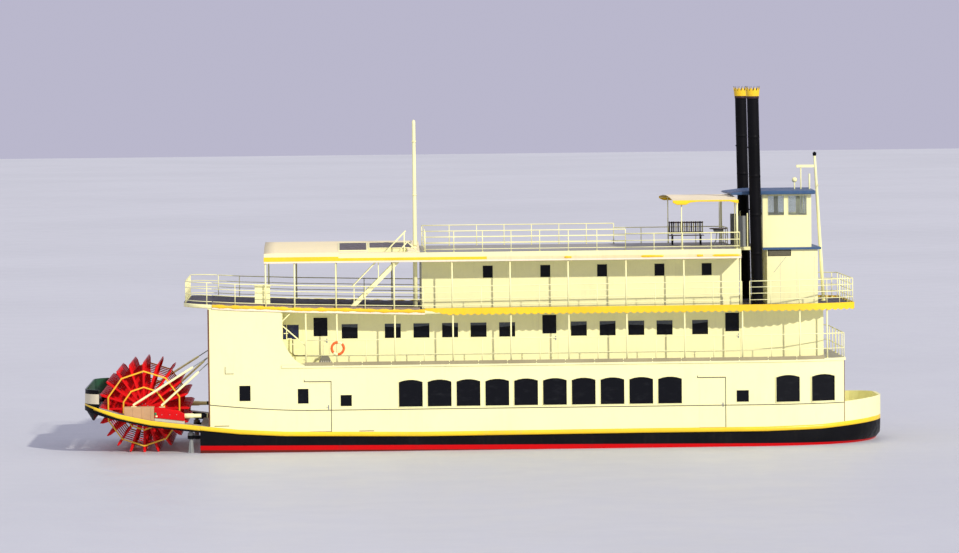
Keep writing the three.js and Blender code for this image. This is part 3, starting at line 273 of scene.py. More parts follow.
class Nodes:
    """Short names for the nodes of one material."""

    def __init__(self, name):
        self.material = bpy.data.materials.new(name)
        self.material.use_nodes = True
        self.tree = self.material.node_tree
        self.shader = self.tree.nodes["Principled BSDF"]
        self.place = self.tree.nodes.new("ShaderNodeTexCoord").outputs["Object"]

    def link(self, value, socket):
        if isinstance(value, bpy.types.NodeSocket):
            self.tree.links.new(value, socket)
        else:
            socket.default_value = value

    def scaled(self, scale):
        node = self.tree.nodes.new("ShaderNodeMapping")
        node.inputs["Scale"].default_value = scale
        self.link(self.place, node.inputs["Vector"])
        return node.outputs["Vector"]

    def noise(self, scale, detail=4.0, rough=0.55, stretch=(1, 1, 1)):
        node = self.tree.nodes.new("ShaderNodeTexNoise")
        node.inputs["Scale"].default_value = scale
        node.inputs["Detail"].default_value = detail
        node.inputs["Roughness"].default_value = rough
        self.link(self.scaled(stretch), node.inputs["Vector"])
        return node.outputs["Fac"]

    def waves(self, scale, stretch, direction="X", distortion=0.0):
        node = self.tree.nodes.new("ShaderNodeTexWave")
        node.bands_direction = direction
        node.inputs["Scale"].default_value = scale
        node.inputs["Distortion"].default_value = distortion
        self.link(self.scaled(stretch), node.inputs["Vector"])
        return node.outputs["Fac"]

    def ramp(self, value, low, high, out=(0.0, 1.0)):
        node = self.tree.nodes.new("ShaderNodeMapRange")
        node.interpolation_type = "SMOOTHSTEP"
        for name, number in zip(("From Min", "From Max", "To Min", "To Max"), (low, high, *out)):
            node.inputs[name].default_value = number
        self.link(value, node.inputs["Value"])
        return node.outputs["Result"]

    def math(self, how, a, b):
        node = self.tree.nodes.new("ShaderNodeMath")
        node.operation = how
        self.link(a, node.inputs[0])
        self.link(b, node.inputs[1])
        return node.outputs[0]

    def mix(self, share, a, b):
        node = self.tree.nodes.new("ShaderNodeMix")
        node.data_type = "RGBA"
        self.link(share, node.inputs[0])
        for value, socket in ((a, node.inputs[6]), (b, node.inputs[7])):
            self.link(value if isinstance(value, bpy.types.NodeSocket) else (*value, 1.0), socket)
        return node.outputs[2]

    def axis(self, letter):
        node = self.tree.nodes.new("ShaderNodeSeparateXYZ")
        self.link(self.place, node.inputs[0])
        return node.outputs[letter]

    def upward(self):
        node = self.tree.nodes.new("ShaderNodeNewGeometry")
        split = self.tree.nodes.new("ShaderNodeSeparateXYZ")
        self.link(node.outputs["True Normal"], split.inputs[0])
        return split.outputs["Z"]

    def bump(self, height, strength, distance, below=None):
        node = self.tree.nodes.new("ShaderNodeBump")
        node.inputs["Strength"].default_value = strength
        node.inputs["Distance"].default_value = distance
        self.link(height, node.inputs["Height"])
        if below:
            self.link(below, node.inputs["Normal"])
        return node.outputs["Normal"]


def darker(colour, share):
    return tuple(c * share for c in colour)


def paint(name, colour, rough=0.45, metal=0.0, tone=0.93, streak=0.25, grime=(0.33, 0.27, 0.19),
          chips=0.0, under=(0.2, 0.09, 0.05), grain=220.0, wave=0.4, top=None, bands=(),
          slant=0.0, shine=0.5):
    """Brushed enamel over plates: broad tone, rain streaks, chips down to the metal, and a fine surface.

    top is the colour of faces that look up; bands are (axis, low, high, colour) with soft edges, and slant
    lowers them by its share of X. shine is the strength of the gloss."""
    n = Nodes(name)
    body = n.mix(n.ramp(n.noise(0.35, 5), 0.35, 0.68), colour, darker(colour, tone))
    body = n.mix(n.ramp(n.noise(9.0, 6), 0.45, 0.8, (0.0, 0.35)), body, darker(colour, tone * 0.9))
    for letter, low, high, other in bands:
        value = n.math("ADD", n.axis(letter), n.math("MULTIPLY", n.noise(6.0, 3), 0.012))
        value = n.math("ADD", value, n.math("MULTIPLY", n.axis("X"), slant))
        over = n.ramp(value, low - 0.004, low + 0.008)
        below = n.ramp(value, high, high + 0.012, (1, 0))
        body = n.mix(n.math("MULTIPLY", over, below), body, other)
    if top:
        body = n.mix(n.ramp(n.upward(), 0.55, 0.8), body, top)
    runs = n.math("MULTIPLY", n.noise(1.0, 5, 0.65, (7.0, 7.0, 0.45)), n.noise(0.8, 3))
    body = n.mix(n.ramp(runs, 0.24, 0.46, (0.0, streak)), body, grime)
    if chips:
        spots = n.ramp(n.noise(26.0, 8, 0.7), 0.72 - chips * 0.1, 0.745 - chips * 0.1)
        body = n.mix(spots, body, under)
    n.link(body, n.shader.inputs["Base Color"])
    worn = (rough * 0.8, min(1.0, rough * 1.35))
    n.link(n.ramp(n.noise(5.0, 5), 0.3, 0.75, worn), n.shader.inputs["Roughness"])
    n.shader.inputs["Metallic"].default_value = metal
    n.shader.inputs["Specular IOR Level"].default_value = shine
    plates = n.bump(n.noise(1.6, 2), wave, 0.012)
    n.link(n.bump(n.noise(grain, 3), 0.12, 0.0015, plates), n.shader.inputs["Normal"])
    return n.material


def glass(name, colour, rough=0.07, salt=0.3, shine=0.5):
    """Tinted panes that ripple a little and carry patches of a salt film."""
    n = Nodes(name)
    film = n.ramp(n.noise(2.2, 5, 0.6, (1, 1, 2.4)), 0.5, 0.85, (0.0, salt))
    n.link(n.mix(film, colour, (0.16, 0.17, 0.19)), n.shader.inputs["Base Color"])
    n.link(n.ramp(n.noise(3.0, 4), 0.35, 0.8, (rough, rough + 0.18)), n.shader.inputs["Roughness"])
    n.link(n.bump(n.noise(1.3, 2), 0.2, 0.01), n.shader.inputs["Normal"])
    n.shader.inputs["IOR"].default_value = 1.5
    n.shader.inputs["Specular IOR Level"].default_value = shine
    return n.material


def clear_glass():
    n = Nodes("clear_glass")
    n.link(n.mix(n.ramp(n.noise(2.0, 4), 0.4, 0.8, (0, 0.4)), (0.75, 0.8, 0.78), (0.6, 0.62, 0.6)),
           n.shader.inputs["Base Color"])
    n.link(n.ramp(n.noise(3.0, 4), 0.35, 0.8, (0.03, 0.12)), n.shader.inputs["Roughness"])
    n.shader.inputs["Transmission Weight"].default_value = 0.9
    n.shader.inputs["IOR"].default_value = 1.1
    return n.material


def planks(name, colour, width, letter="Y", rough=0.7, gap=(0.05, 0.04, 0.03)):
    """Boards side by side along one axis, each with its own grain."""
    n = Nodes(name)
    across = n.math("FRACT", n.math("DIVIDE", n.axis(letter), width), 0.0)
    seam = n.ramp(n.math("ABSOLUTE", n.math("SUBTRACT", across, 0.5), 0.0), 0.44, 0.48)
    stretch = {"X": (9, 1, 9), "Y": (1, 9, 9), "Z": (1, 9, 9)}[letter]
    grain = n.noise(3.0, 8, 0.65, stretch)
    body = n.mix(n.ramp(grain, 0.3, 0.75), darker(colour, 0.7), colour)
    body = n.mix(n.ramp(n.noise(1.1, 4), 0.4, 0.75, (0, 0.5)), body, darker(colour, 0.55))
    n.link(n.mix(seam, body, gap), n.shader.inputs["Base Color"])
    n.link(n.ramp(grain, 0.2, 0.8, (rough * 0.85, min(1, rough * 1.2))), n.shader.inputs["Roughness"])
    boards = n.bump(n.math("SUBTRACT", grain, n.math("MULTIPLY", seam, 3.0)), 0.35, 0.003)
    n.link(boards, n.shader.inputs["Normal"])
    return n.material


def canvas(name, colour, edge):
    """Woven awning cloth with a yellow bound edge and water marks."""
    n = Nodes(name)
    warp = n.waves(160.0, (1, 1, 1), "X", 0.4)
    weft = n.waves(160.0, (1, 1, 1), "Y", 0.4)
    weave = n.math("MULTIPLY", warp, weft)
    body = n.mix(n.ramp(n.noise(0.7, 6), 0.35, 0.75), colour, darker(colour, 0.9))
    body = n.mix(n.ramp(n.noise(3.5, 5), 0.62, 0.72, (0, 0.3)), body, (0.62, 0.55, 0.42))
    body = n.mix(n.ramp(weave, 0.2, 0.8, (0, 0.12)), body, darker(colour, 0.7))
    hem = n.ramp(n.axis("Z"), CANOPY_EDGE + 0.012, CANOPY_EDGE + 0.02, (1, 0))
    n.link(n.mix(hem, body, edge), n.shader.inputs["Base Color"])
    n.shader.inputs["Roughness"].default_value = 0.85
    n.shader.inputs["Sheen Weight"].default_value = 0.25
    n.link(n.bump(weave, 0.3, 0.0012, n.bump(n.noise(2.4, 3), 0.3, 0.01)), n.shader.inputs["Normal"])
    return n.material


CREAM = (0.95, 0.92, 0.48)
YELLOW = (0.95, 0.62, 0.012)
RED = (0.74, 0.003, 0.005)
BLACK = (0.004, 0.0042, 0.0055)
BLUE = (0.032, 0.09, 0.2)
GREY = (0.32, 0.31, 0.28)
BOOT_TOP_Z, BOOT_TOP_SLANT = 0.235, 0.0082

WHITE = paint("cream_enamel", CREAM, rough=0.42, tone=0.955, streak=0.1, chips=0.05)
DECK_EDGE = paint("deck_edge_enamel", CREAM, rough=0.5, streak=0.14, top=GREY)
ROOF_PAINT = paint("roof_enamel", (0.95, 0.83, 0.5), rough=0.6, tone=0.95, streak=0.06)
YELLOW_PAINT = paint("yellow_enamel", YELLOW, rough=0.4, tone=0.86, streak=0.14, chips=0.35)
RED_PAINT = paint("wheel_red_enamel", RED, rough=0.42, tone=0.82, streak=0.25, grime=(0.2, 0.02, 0.02),
                  chips=0.3, shine=0.15)
RING_YELLOW = paint("ring_yellow_enamel", (0.93, 0.5, 0.015), rough=0.45, tone=0.8, streak=0.2, chips=0.4)
BLACK_PAINT = paint("black_enamel", BLACK, rough=0.38, tone=1.5, streak=0.1, grime=(0.03, 0.025, 0.02),
                    chips=0.15, shine=0.06)
FUNNEL_PAINT = paint("funnel_black", (0.0035, 0.0035, 0.0045), rough=0.5, tone=1.7, streak=0.2,
                     grime=(0.012, 0.012, 0.013), shine=0.06)
HULL_PAINT = paint(
    "hull_enamel", BLACK, rough=0.4, tone=1.6, streak=0.15, grime=(0.04, 0.033, 0.027), chips=0.2, shine=0.06,
    bands=[("Z", -3.0, BOOT_TOP_Z, (0.55, 0.004, 0.006)), ("Z", -3.0, 0.03, (0.13, 0.02, 0.014))],
    slant=BOOT_TOP_SLANT)
BLUE_PAINT = paint("blue_enamel", BLUE, rough=0.42, tone=0.8, streak=0.12, grime=(0.3, 0.32, 0.36), chips=0.1)
TAN_PAINT = paint("tan_cover", (0.62, 0.36, 0.17), rough=0.75, tone=0.75, streak=0.3, chips=0.5,
                  under=(0.12, 0.07, 0.04))
GREY_PAINT = paint("grey_enamel", (0.3, 0.32, 0.31), rough=0.5, metal=0.1, tone=0.8, streak=0.3, chips=0.3)
PALE_GREY = paint("pale_grey_enamel", (0.62, 0.6, 0.45), rough=0.5, tone=0.85, streak=0.2, chips=0.2)
BRONZE = paint("cast_bronze", (0.4, 0.24, 0.08), rough=0.38, metal=0.9, tone=0.7, streak=0.3,
               grime=(0.1, 0.16, 0.1))
GREEN_PAINT = paint("bulwark_green", (0.012, 0.1, 0.04), rough=0.55, tone=0.7, streak=0.25)
BROWN_PAINT = paint("brown_trim", (0.17, 0.06, 0.02), rough=0.6, tone=0.7, streak=0.2)
ENGINE_PAINT = paint("engine_enamel", (0.1, 0.13, 0.12), rough=0.4, metal=0.2, tone=0.8, chips=0.3)
ORANGE_PAINT = paint("lifebuoy_orange", (0.85, 0.14, 0.015), rough=0.55, tone=0.85, streak=0.1)
MAUVE_PANEL = paint("dark_panel", (0.11, 0.09, 0.09), rough=0.5, tone=0.85, streak=0.1,
                    grime=(0.3, 0.27, 0.24))
# Dark navy for the third deck's top: painted shade, the colour the deck takes in the fourth deck's shadow.
DECK_SHADE_NAVY = paint("deck_navy_painted_shade", (0.06, 0.055, 0.08), rough=0.7, tone=0.8, streak=0.15, chips=0.2, grain=600.0)
COAMING_PAINT = paint("coaming_mauve", (0.33, 0.26, 0.22), rough=0.6, tone=0.8, streak=0.2)
FADED_PAINT = paint("faded_band", (0.93, 0.74, 0.4), rough=0.5, tone=0.85, streak=0.15, chips=0.2)
TOWER_PAINT = paint(
    "tower_enamel", CREAM, rough=0.42, tone=0.955, streak=0.1, bands=[("Z", LEDGE_Z, LEDGE_Z + 0.2, BLUE)])
DARK_GLASS = glass("dark_glass", (0.004, 0.0045, 0.007), 0.09, 0.06, 0.12)
PALE_GLASS = glass("pale_glass", (0.06, 0.07, 0.08), 0.2, 0.2, 0.4)
BLUE_GLASS = glass("blue_glass", (0.004, 0.008, 0.05), 0.1)
TIMBER = planks("bench_timber", (0.12, 0.065, 0.075), 0.11)
LINE_PAINT = paint("dark_line", (0.1, 0.085, 0.06), rough=0.6, tone=0.75, streak=0.2)
EDGE_PAINT = paint("deck_edge_strip", (0.38, 0.33, 0.18), rough=0.6, tone=0.8, streak=0.25)
SCUFF_PAINT = paint("rubbed_brown", (0.14, 0.08, 0.045), rough=0.8, tone=0.6, streak=0.3, chips=0.5)
LIP_PAINT = paint("edge_pink", (0.93, 0.79, 0.6), rough=0.5, tone=0.93, streak=0.12)
BEIGE_PAINT = paint("board_beige", (0.8, 0.71, 0.5), rough=0.6, tone=0.88, streak=0.2, chips=0.3)
# Grey-teal for the stern bulwark's rim: a painted highlight.
RIM_HIGHLIGHT_PAINT = paint("rim_painted_highlight", (0.13, 0.17, 0.17), rough=0.45, tone=0.8, streak=0.2)
OLIVE_PAINT = paint("louvre_olive", (0.2, 0.185, 0.12), rough=0.6, tone=0.8, streak=0.2)
BRIGHT_GREEN = paint("valve_green", (0.02, 0.25, 0.08), rough=0.5, tone=0.8, chips=0.2)
CLOTH = canvas("awning_canvas", (0.9, 0.77, 0.47), YELLOW)
DECK_PAINT = planks("deck_boards", (0.42, 0.4, 0.34), 0.14)
DECK_GREY = paint("deck_grip", (0.4, 0.37, 0.32), rough=0.8, tone=0.8, streak=0.2, chips=0.3, grain=600.0)
SEAM_PAINT = paint("seam_shadow", (0.66, 0.62, 0.44), rough=0.6, tone=0.9)
DULL_RED = paint("dull_red", (0.03, 0.003, 0.003), rough=0.5, tone=0.7, streak=0.2)
RED_DARK = paint("bolt_red", (0.4, 0.004, 0.006), rough=0.45, tone=0.7, chips=0.6)
CLEAR_GLASS = clear_glass()


# Building one piece out of many solids

class Form:
    """Gathers solids for one piece; paint is the number of the piece's paint that a face takes."""

    def __init__(self):
        self.points, self.faces, self.paints, self.smooth = [], [], [], []

    def add(self, points, faces, paint=0, smooth=False):
        start = len(self.points)
        self.points.extend(tuple(p) for p in points)
        for i, face in enumerate(faces):
            self.faces.append([start + v for v in face])
            self.paints.append(paint[i] if isinstance(paint, list) else paint)
            self.smooth.append(smooth)

    def box(self, x, y, z, paint=0):
        points = [(a, b, c) for a in sorted(x) for b in sorted(y) for c in sorted(z)]
        faces = [(0, 1, 3, 2), (4, 6, 7, 5), (0, 4, 5, 1), (2, 3, 7, 6), (0, 2, 6, 4), (1, 5, 7, 3)]
        self.add(points, faces, paint)

    def loft(self, sections, paint=0, smooth=False, closed=True, caps=True):
        """Skin through sections of equal length. paint may be a list with a number for each side."""
        count = len(sections[0])
        sides = count if closed else count - 1
        points = [p for section in sections for p in section]
        faces, paints = [], []
        for s in range(len(sections) - 1):
            for i in range(sides):
                j = (i + 1) % count
                faces.append((s * count + i, s * count + j, (s + 1) * count + j, (s + 1) * count + i))
                paints.append(paint[i] if isinstance(paint, list) else paint)
        if caps and closed:
            last = (len(sections) - 1) * count
            faces += [tuple(range(count)), tuple(last + i for i in range(count))]
            paints += [paints[0]] * 2
        self.add(points, faces, paints, smooth)

    def tube(self, path, radius, sides=8, paint=0):
        """A round bar along a path, mitred at its bends; radius may be one for each point."""
        path = [Vector(p) for p in path]
        radii = radius if isinstance(radius, (list, tuple)) else [radius] * len(path)
        ways = [(b - a).normalized() for a, b in zip(path, path[1:])]
        start = Vector((0, 0, 1)) if abs(ways[0].z) < 0.9 else Vector((1, 0, 0))
        side = ways[0].cross(start).normalized()
        sections = []
        for i, (point, r) in enumerate(zip(path, radii)):
            before, after = ways[max(0, i - 1)], ways[min(i, len(ways) - 1)]
            way = (before + after).normalized()
            side = (side - way * side.dot(way)).normalized()
            other = way.cross(side)
            mitre = 1 / max(0.35, way.dot(after))
            turns = [2 * math.pi * k / sides for k in range(sides)]
            bend = (after - before)
            flat = bend.normalized() if bend.length > 1e-4 else None
            ring = []
            for turn in turns:
                out = side * math.cos(turn) + other * math.sin(turn)
                if flat:
                    out = out + flat * out.dot(flat) * (mitre - 1)
                ring.append(tuple(point + out * r))
            sections.append(ring)
        self.loft(sections, paint, smooth=True)

    def plate(self, outline, thick, paint=0):
        """A flat plate: outline is 3-D points in order, thick is the vector through it."""
        thick = Vector(thick)
        self.loft([[tuple(p) for p in outline], [tuple(Vector(p) + thick) for p in outline]], paint)

    def strip(self, xs, y, z, paint=0):
        """A rectangular bar through stations xs; y and z are pairs, or functions that give a pair at x."""
        sections = []
        for x in xs:
            (y0, y1), (z0, z1) = (ends(x) if callable(ends) else ends for ends in (y, z))
            sections.append([(x, y0, z0), (x, y0, z1), (x, y1, z1), (x, y1, z0)])
        self.loft(sections, paint)

    def fence(self, near, far, z, paint=0):
        """A standing plate between two plan paths."""
        low, high = z
        self.loft([[(*a, low), (*a, high), (*b, high), (*b, low)] for a, b in zip(near, far)], paint)

    def mirror(self):
        """Adds the same solids on the other side of the ship."""
        start = len(self.points)
        self.points.extend([(x, -y, z) for x, y, z in self.points])
        self.faces.extend([[start + v for v in reversed(face)] for face in self.faces])
        self.paints, self.smooth = self.paints * 2, self.smooth * 2
        return self

    def piece(self, name, paints, slot, body="ship", replaces=(), bevel=0.0, segments=2, weld=True):
        mesh = bpy.data.meshes.new(name)
        mesh.from_pydata(self.points, [], self.faces)
        for polygon, number, smooth in zip(mesh.polygons, self.paints, self.smooth):
            polygon.material_index, polygon.use_smooth = number, smooth
        work = bmesh.new()
        work.from_mesh(mesh)
        if weld:
            bmesh.ops.dissolve_degenerate(work, dist=1e-6, edges=work.edges)
        bmesh.ops.recalc_face_normals(work, faces=work.faces)
        work.to_mesh(mesh)
        work.free()
        for one in paints if isinstance(paints, (list, tuple)) else [paints]:
            mesh.materials.append(one)
        obj = bpy.data.objects.new(name, mesh)
        bpy.context.scene.collection.objects.link(obj)
        if bevel:
            round_edges(obj, bevel, segments)
        return settle(obj, body, replaces)


def round_edges(obj, width, segments=2):
    edge = obj.modifiers.new("rounded_edges", "BEVEL")
    edge.width, edge.segments, edge.limit_method = width, segments, "ANGLE"
    edge.angle_limit = math.radians(50)
    edge.harden_normals = False


def settle(obj, body="ship", replaces=()):
    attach(obj, body)
    if replaces:
        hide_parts(*([replaces] if isinstance(replaces, str) else replaces))
    return obj


def keep(node, material, bevel=0.0):
    """A CAD node that stays, with a finish of its own."""
    obj = NODES[node]
    obj.data.materials.clear()
    obj.data.materials.append(material)
    if bevel:
        round_edges(obj, bevel, 2)


def sided(name):
    return [name + "_starboard", name + "_port"]


# Hull

def soften(points, rounds=2):
    """Corners of an open outline cut back, with its ends kept."""
    for _ in range(rounds):
        cut = [points[0]]
        for a, b in zip(points, points[1:]):
            cut += [tuple(p + (q - p) * t for p, q in zip(a, b)) for t in (0.25, 0.75)]
        points = cut[:1] + cut[2:-1] + [points[-1]]
    return points


def split_edges(obj, degrees):
    obj.modifiers.new("sharp_edges", "EDGE_SPLIT").split_angle = math.radians(degrees)


def hull():
    form = Form()
    sections = []
    for x in stations(TRANSOM_X, BOW_X, 0.5):
        top, deck_z = bow_half(x, HULL_HALF), sheer(x) - GUARD_THICK - SEAM
        chine, chine_z, keel_z = (along(HULL_SECTIONS, x, column) for column in (1, 2, 3))
        half = soften([(0, keel_z), (top * chine, chine_z), (top, (chine_z + deck_z) / 2), (top, deck_z)])
        sections.append(both_sides(x, half, 1))
    form.loft(sections, smooth=True)
    for side in (-1, 1):
        y = side * LEG_Y
        form.box((LEG_X, TRANSOM_X + 0.1), (y - 0.13, y + 0.13), LEG_BRACKET_Z)
        form.loft([[(LEG_X + u, y + v, z) for u, v in circle(0.16, 24)] for z in LEG_BRACKET_Z])
    for x in OUTLETS_X:
        for side in (-1, 1):
            form.tube([(x, side * (HULL_HALF + out), OUTLET_Z) for out in (-0.03, 0.03)], 0.045, 12)
    split_edges(form.piece("hull_shell", HULL_PAINT, "hull_black", replaces="hull"), 48)


def guard():
    """The main deck with its rounded yellow rubbing edge."""
    form = Form()
    bulge, deep = 0.05, GUARD_THICK / 2
    turns = [math.radians(a) for a in range(90, -91, -30)]
    sections = []
    for x in stations(TRANSOM_X + 0.005, BOW_X, 0.6):
        half, middle = bow_half(x, GUARD_HALF) - bulge, sheer(x) - deep
        edge = [(half + bulge * math.cos(a), middle + deep * math.sin(a)) for a in turns]
        sections.append(both_sides(x, edge))
    form.loft(sections, [0] * 6 + [2] + [0] * 6 + [1], smooth=True)
    obj = form.piece("main_deck_guard", [YELLOW_PAINT, DECK_PAINT, BLACK_PAINT], "trim_yellow",
                     replaces="main_deck")
    split_edges(obj, 50)


def stern_half(x, inset=0.0):
    return rounded_aft(x, STERN_X, STERN_RADIUS, GUARD_HALF) - inset


def stern_path(inset, fore_x, count=26):
    """Plan points round the stern from starboard to port, a way in from the guard's edge."""
    radius = STERN_RADIUS - inset
    last = math.acos(max(0.0, (STERN_X + STERN_RADIUS - fore_x) / radius))
    port = [(STERN_X + STERN_RADIUS - radius * math.cos(a), GUARD_HALF - STERN_RADIUS + radius * math.sin(a))
            for a in spread(0, last, count)]
    return [(x, -y) for x, y in reversed(port)] + port


def stern_band(x):
    """How deep the yellow edge is: it thins towards the stern."""
    return 0.05 + 0.12 * min(1.0, 0.2 + (x - STERN_X) / 2.5)


def stern_beams(form):
    """The beams on both sides of the wheel; the first is to port."""
    start = STERN_X + STERN_RADIUS
    beam = []
    for x in sorted(set(spread(WELL_AFT_X, start, 12) + stations(start, TRANSOM_X, 0.4))):
        top, half, deep = sheer(x), stern_half(x), stern_band(x)
        foot, near = top - BEAM_DEEP, half - 0.03
        side = [(WELL_HALF, foot), (WELL_HALF, top), (half - 0.04, top), (half, top - 0.05),
                (half, top - deep), (near, top - deep - 0.04), (near, foot)]
        beam.append([(min(x, TRANSOM_X - SEAM), y, z) for y, z in side])
    form.loft(beam, [1, 2, 0, 0, 0, 1, 1])
    form.mirror()


def round_stern(form):
    deck = []
    for x in [STERN_X + STERN_RADIUS * t ** 2 for t in spread(0.13, 0.605, 14)]:
        half, top = stern_half(x), sheer(x)
        deck.append(both_sides(x, [(half, top - BEAM_DEEP), (half, top - stern_band(x)), (half, top)]))
    form.loft(deck, [1, 0, 2, 0, 1, 1])
    body = [[(x, y, z) for x, y in stern_path(inset, WELL_AFT_X)] for z, inset in STERN_BODY]
    form.loft(body + [[(x, y, sheer(x) - 0.02) for x, y in stern_path(0.06, WELL_AFT_X)]], 1)


def stern_bulwark(form):
    """Black outside and green inside, with a grey-teal rim that paints its highlight and a bare board on its
    starboard quarter.
    """
    skin, outer, inner = (stern_path(inset, BULWARK_FORE_X) for inset in (0.02, 0.034, 0.1))
    middle = [(x + (a - x) * 0.5, y + (b - y) * 0.5) for (x, y), (a, b) in zip(outer, inner)]
    foot = sheer(STERN_X) - BEAM_DEEP
    form.fence(middle, inner, (foot, BULWARK_TOP), 3)
    form.fence(outer, middle, (foot, BULWARK_TOP), 1)
    # Painted highlight: the rim tube takes a grey-teal that stands in for the light along its top.
    form.tube([(x, y, BULWARK_TOP - 0.025) for x, y in middle], 0.032, 8, 5)
    board = [ends for ends in zip(skin, outer) if ends[0][1] < BOARD_PORT_Y][:-2]
    form.fence(*zip(*board), BOARD_Z, 4)


def fantail():
    form = Form()
    stern_beams(form)
    round_stern(form)
    stern_bulwark(form)
    paints = [YELLOW_PAINT, BLACK_PAINT, DECK_GREY, GREEN_PAINT, BEIGE_PAINT, RIM_HIGHLIGHT_PAINT]
    form.piece("fantail_frame", paints, "hull_black", replaces="fantail", bevel=0.008)


# Walls that stay, with their mouldings, frames and panes

def walls():
    plain = ["upper_fore_wall", "deck_3_cabin", "pilothouse", "aft_bulkhead", "fore_bulkhead", "bow_bulwark",
             "pilothouse_door"]
    for name in ("main_wall", "upper_wall", *SHELL_DOORS, *UPPER_DOORS):
        plain += sided(name)
    for node in plain:
        keep(node, WHITE, 0.006)
    keep("tower", TOWER_PAINT, 0.012)
    keep("deck_3_stair", WHITE, 0.004)
    keep("deck_2", DECK_EDGE, 0.012)
    keep("deck_4", DECK_EDGE, 0.015)
    keep("engine_block", ENGINE_PAINT, 0.05)
    keep("bow_bitts", BLACK_PAINT, 0.012)
    for node in sided("main_glass"):
        keep(node, DARK_GLASS)
    for node in sided("drive_leg"):
        keep(node, GREY_PAINT, 0.018)


def mouldings():
    """The dark half-round line along the main wall and the brown strips on its corners."""
    form = Form()
    low, lift, level_x, length = 1.87, 0.3, -8.0, 4.5
    line = []
    for x in stations(HOUSE_AFT_X, HOUSE_FORE_X, 0.5):
        z = low + lift * max(0.0, (level_x - x) / length) ** 1.6
        line.append((x, -bow_half(x, HULL_HALF) - 0.002, z))
    form.tube(line, 0.02, 6, 0)
    aft, fore = HOUSE_AFT_X - 0.012, HOUSE_FORE_X + 0.012
    y = -bow_half(HOUSE_FORE_X, HULL_HALF)
    form.box((aft, aft + 0.07), (-HULL_HALF - 0.014, -HULL_HALF + 0.05), (sheer(HOUSE_AFT_X) + 0.01, 6.44), 1)
    form.box((fore - 0.042, fore), (y - 0.012, y + 0.04), (sheer(HOUSE_FORE_X) + 0.01, 3.76), 1)
    form.mirror()
    form.piece("wall_mouldings", [LINE_PAINT, BROWN_PAINT], "white_paint", bevel=0.004)


def kick_boards(form):
    length, gap = 1.26, 0.04
    for i in range(18):
        first = -8.2 + i * (length + gap)
        form.strip(stations(first, first + length, 0.4),
                   lambda x: (-bow_half(x, DECK_HALF) - 0.004, 0.02 - bow_half(x, DECK_HALF)), KICK_BOARD_Z)


def edge_marks():
    """Kick boards on the second deck's edge, dark lines painted as the shadow in the shell doors' recesses,
    an angle iron and two scuffs.
    """
    form = Form()
    kick_boards(form)
    y = (-HULL_HALF - 0.01, -HULL_HALF)
    # Painted shadow: a dark bar over each shell door and down its fore edge, where the recess's shadow falls,
    # with a short upturn at the after end.
    for aft, fore, z in DOOR_SHADOW_LINES:
        form.box((aft, fore), y, (z, z + 0.035), 1)
        form.box((fore - 0.025, fore), y, (sheer(fore), z), 1)
        form.box((aft, aft + 0.03), y, (z, z + 0.1), 1)
    form.mirror()
    (aft, fore), (low, high) = ANGLE_IRON
    near = -HULL_HALF - 0.008
    form.tube([(aft, near, high), (aft, near, low), (fore, near, low)], 0.013, 6, 1)
    for x, z in SCUFFS:
        form.box(x, (-HULL_HALF - 0.004, -HULL_HALF), (z, z + 0.032), 2)
    form.piece("edge_marks", [EDGE_PAINT, LINE_PAINT, SCUFF_PAINT], "white_paint")


def side_sweep():
    """The plate that curves down from the tall wall to the second deck, and the plated window under it."""
    form = Form()
    length, height, toe = SWEEP
    form.strip(spread(TALL_END_X + length, TALL_END_X, 17), (-HULL_HALF, WALL - HULL_HALF),
               lambda x: (DECK_2, DECK_2 + toe + height * (1 - (x - TALL_END_X) / length) ** 2))
    centre, width, low, top, old = PLATED_WINDOW
    proud, x = 0.004, (centre - width / 2, centre + width / 2)
    form.box((old - 0.27, old + 0.27), (-HULL_HALF - proud, -HULL_HALF), (low - 0.02, top + 0.02), 0)
    frame_bars(form, x, (low, top), -HULL_HALF, 0.03, 0.012, -1)
    form.box(x, (-HULL_HALF - 2 * proud, -HULL_HALF), (low, top), 1)
    form.mirror()
    form.piece("side_sweep", [WHITE, DARK_GLASS], "white_paint", bevel=0.002)


def frame_bars(form, x, z, y, width, proud, out, paint=0):
    """A rectangular frame of four flat bars on a wall at y; out is -1 to starboard."""
    (x0, x1), (z0, z1) = x, z
    across, upright = (x0 - width, x1 + width), (z0, z1)
    for xs, zs in ((across, (z1, z1 + width)), (across, (z0 - width, z0)),
                   ((x0 - width, x0), upright), ((x1, x1 + width), upright)):
        form.box(xs, (y, y + out * proud), zs, paint)


def around(centre, width, spare=0.0):
    return centre - width / 2 - spare, centre + width / 2 + spare


def arch_windows(trim, panes):
    """Frames round the arches, and panes in the two that the bow's curve slants."""
    width, low, top, bow = ARCH
    head = [(t * width / 2, top - bow * t * t) for t in spread(-1, 1, 13)]
    rim, side = 0.02, width / 2 + 0.02
    path = [(-side, low - rim), *[(u * side / (width / 2), z + rim) for u, z in head], (side, low - rim)]
    for centre in ARCHES_X:
        curved = centre > SHOULDER_X
        y = -bow_half(centre, HULL_HALF)
        slope = (-bow_half(centre + 0.3, HULL_HALF) - y) / 0.3 if curved else 0.0
        trim.tube([(centre + u, y + slope * u - 0.004, z) for u, z in path + path[:1]], 0.018, 6, 0)
        if curved:
            pane = head + [(width / 2, low), (-width / 2, low)]
            panes.plate([(centre + u, y + slope * u + 0.05, z) for u, z in pane], (0, 0.01, 0), 0)


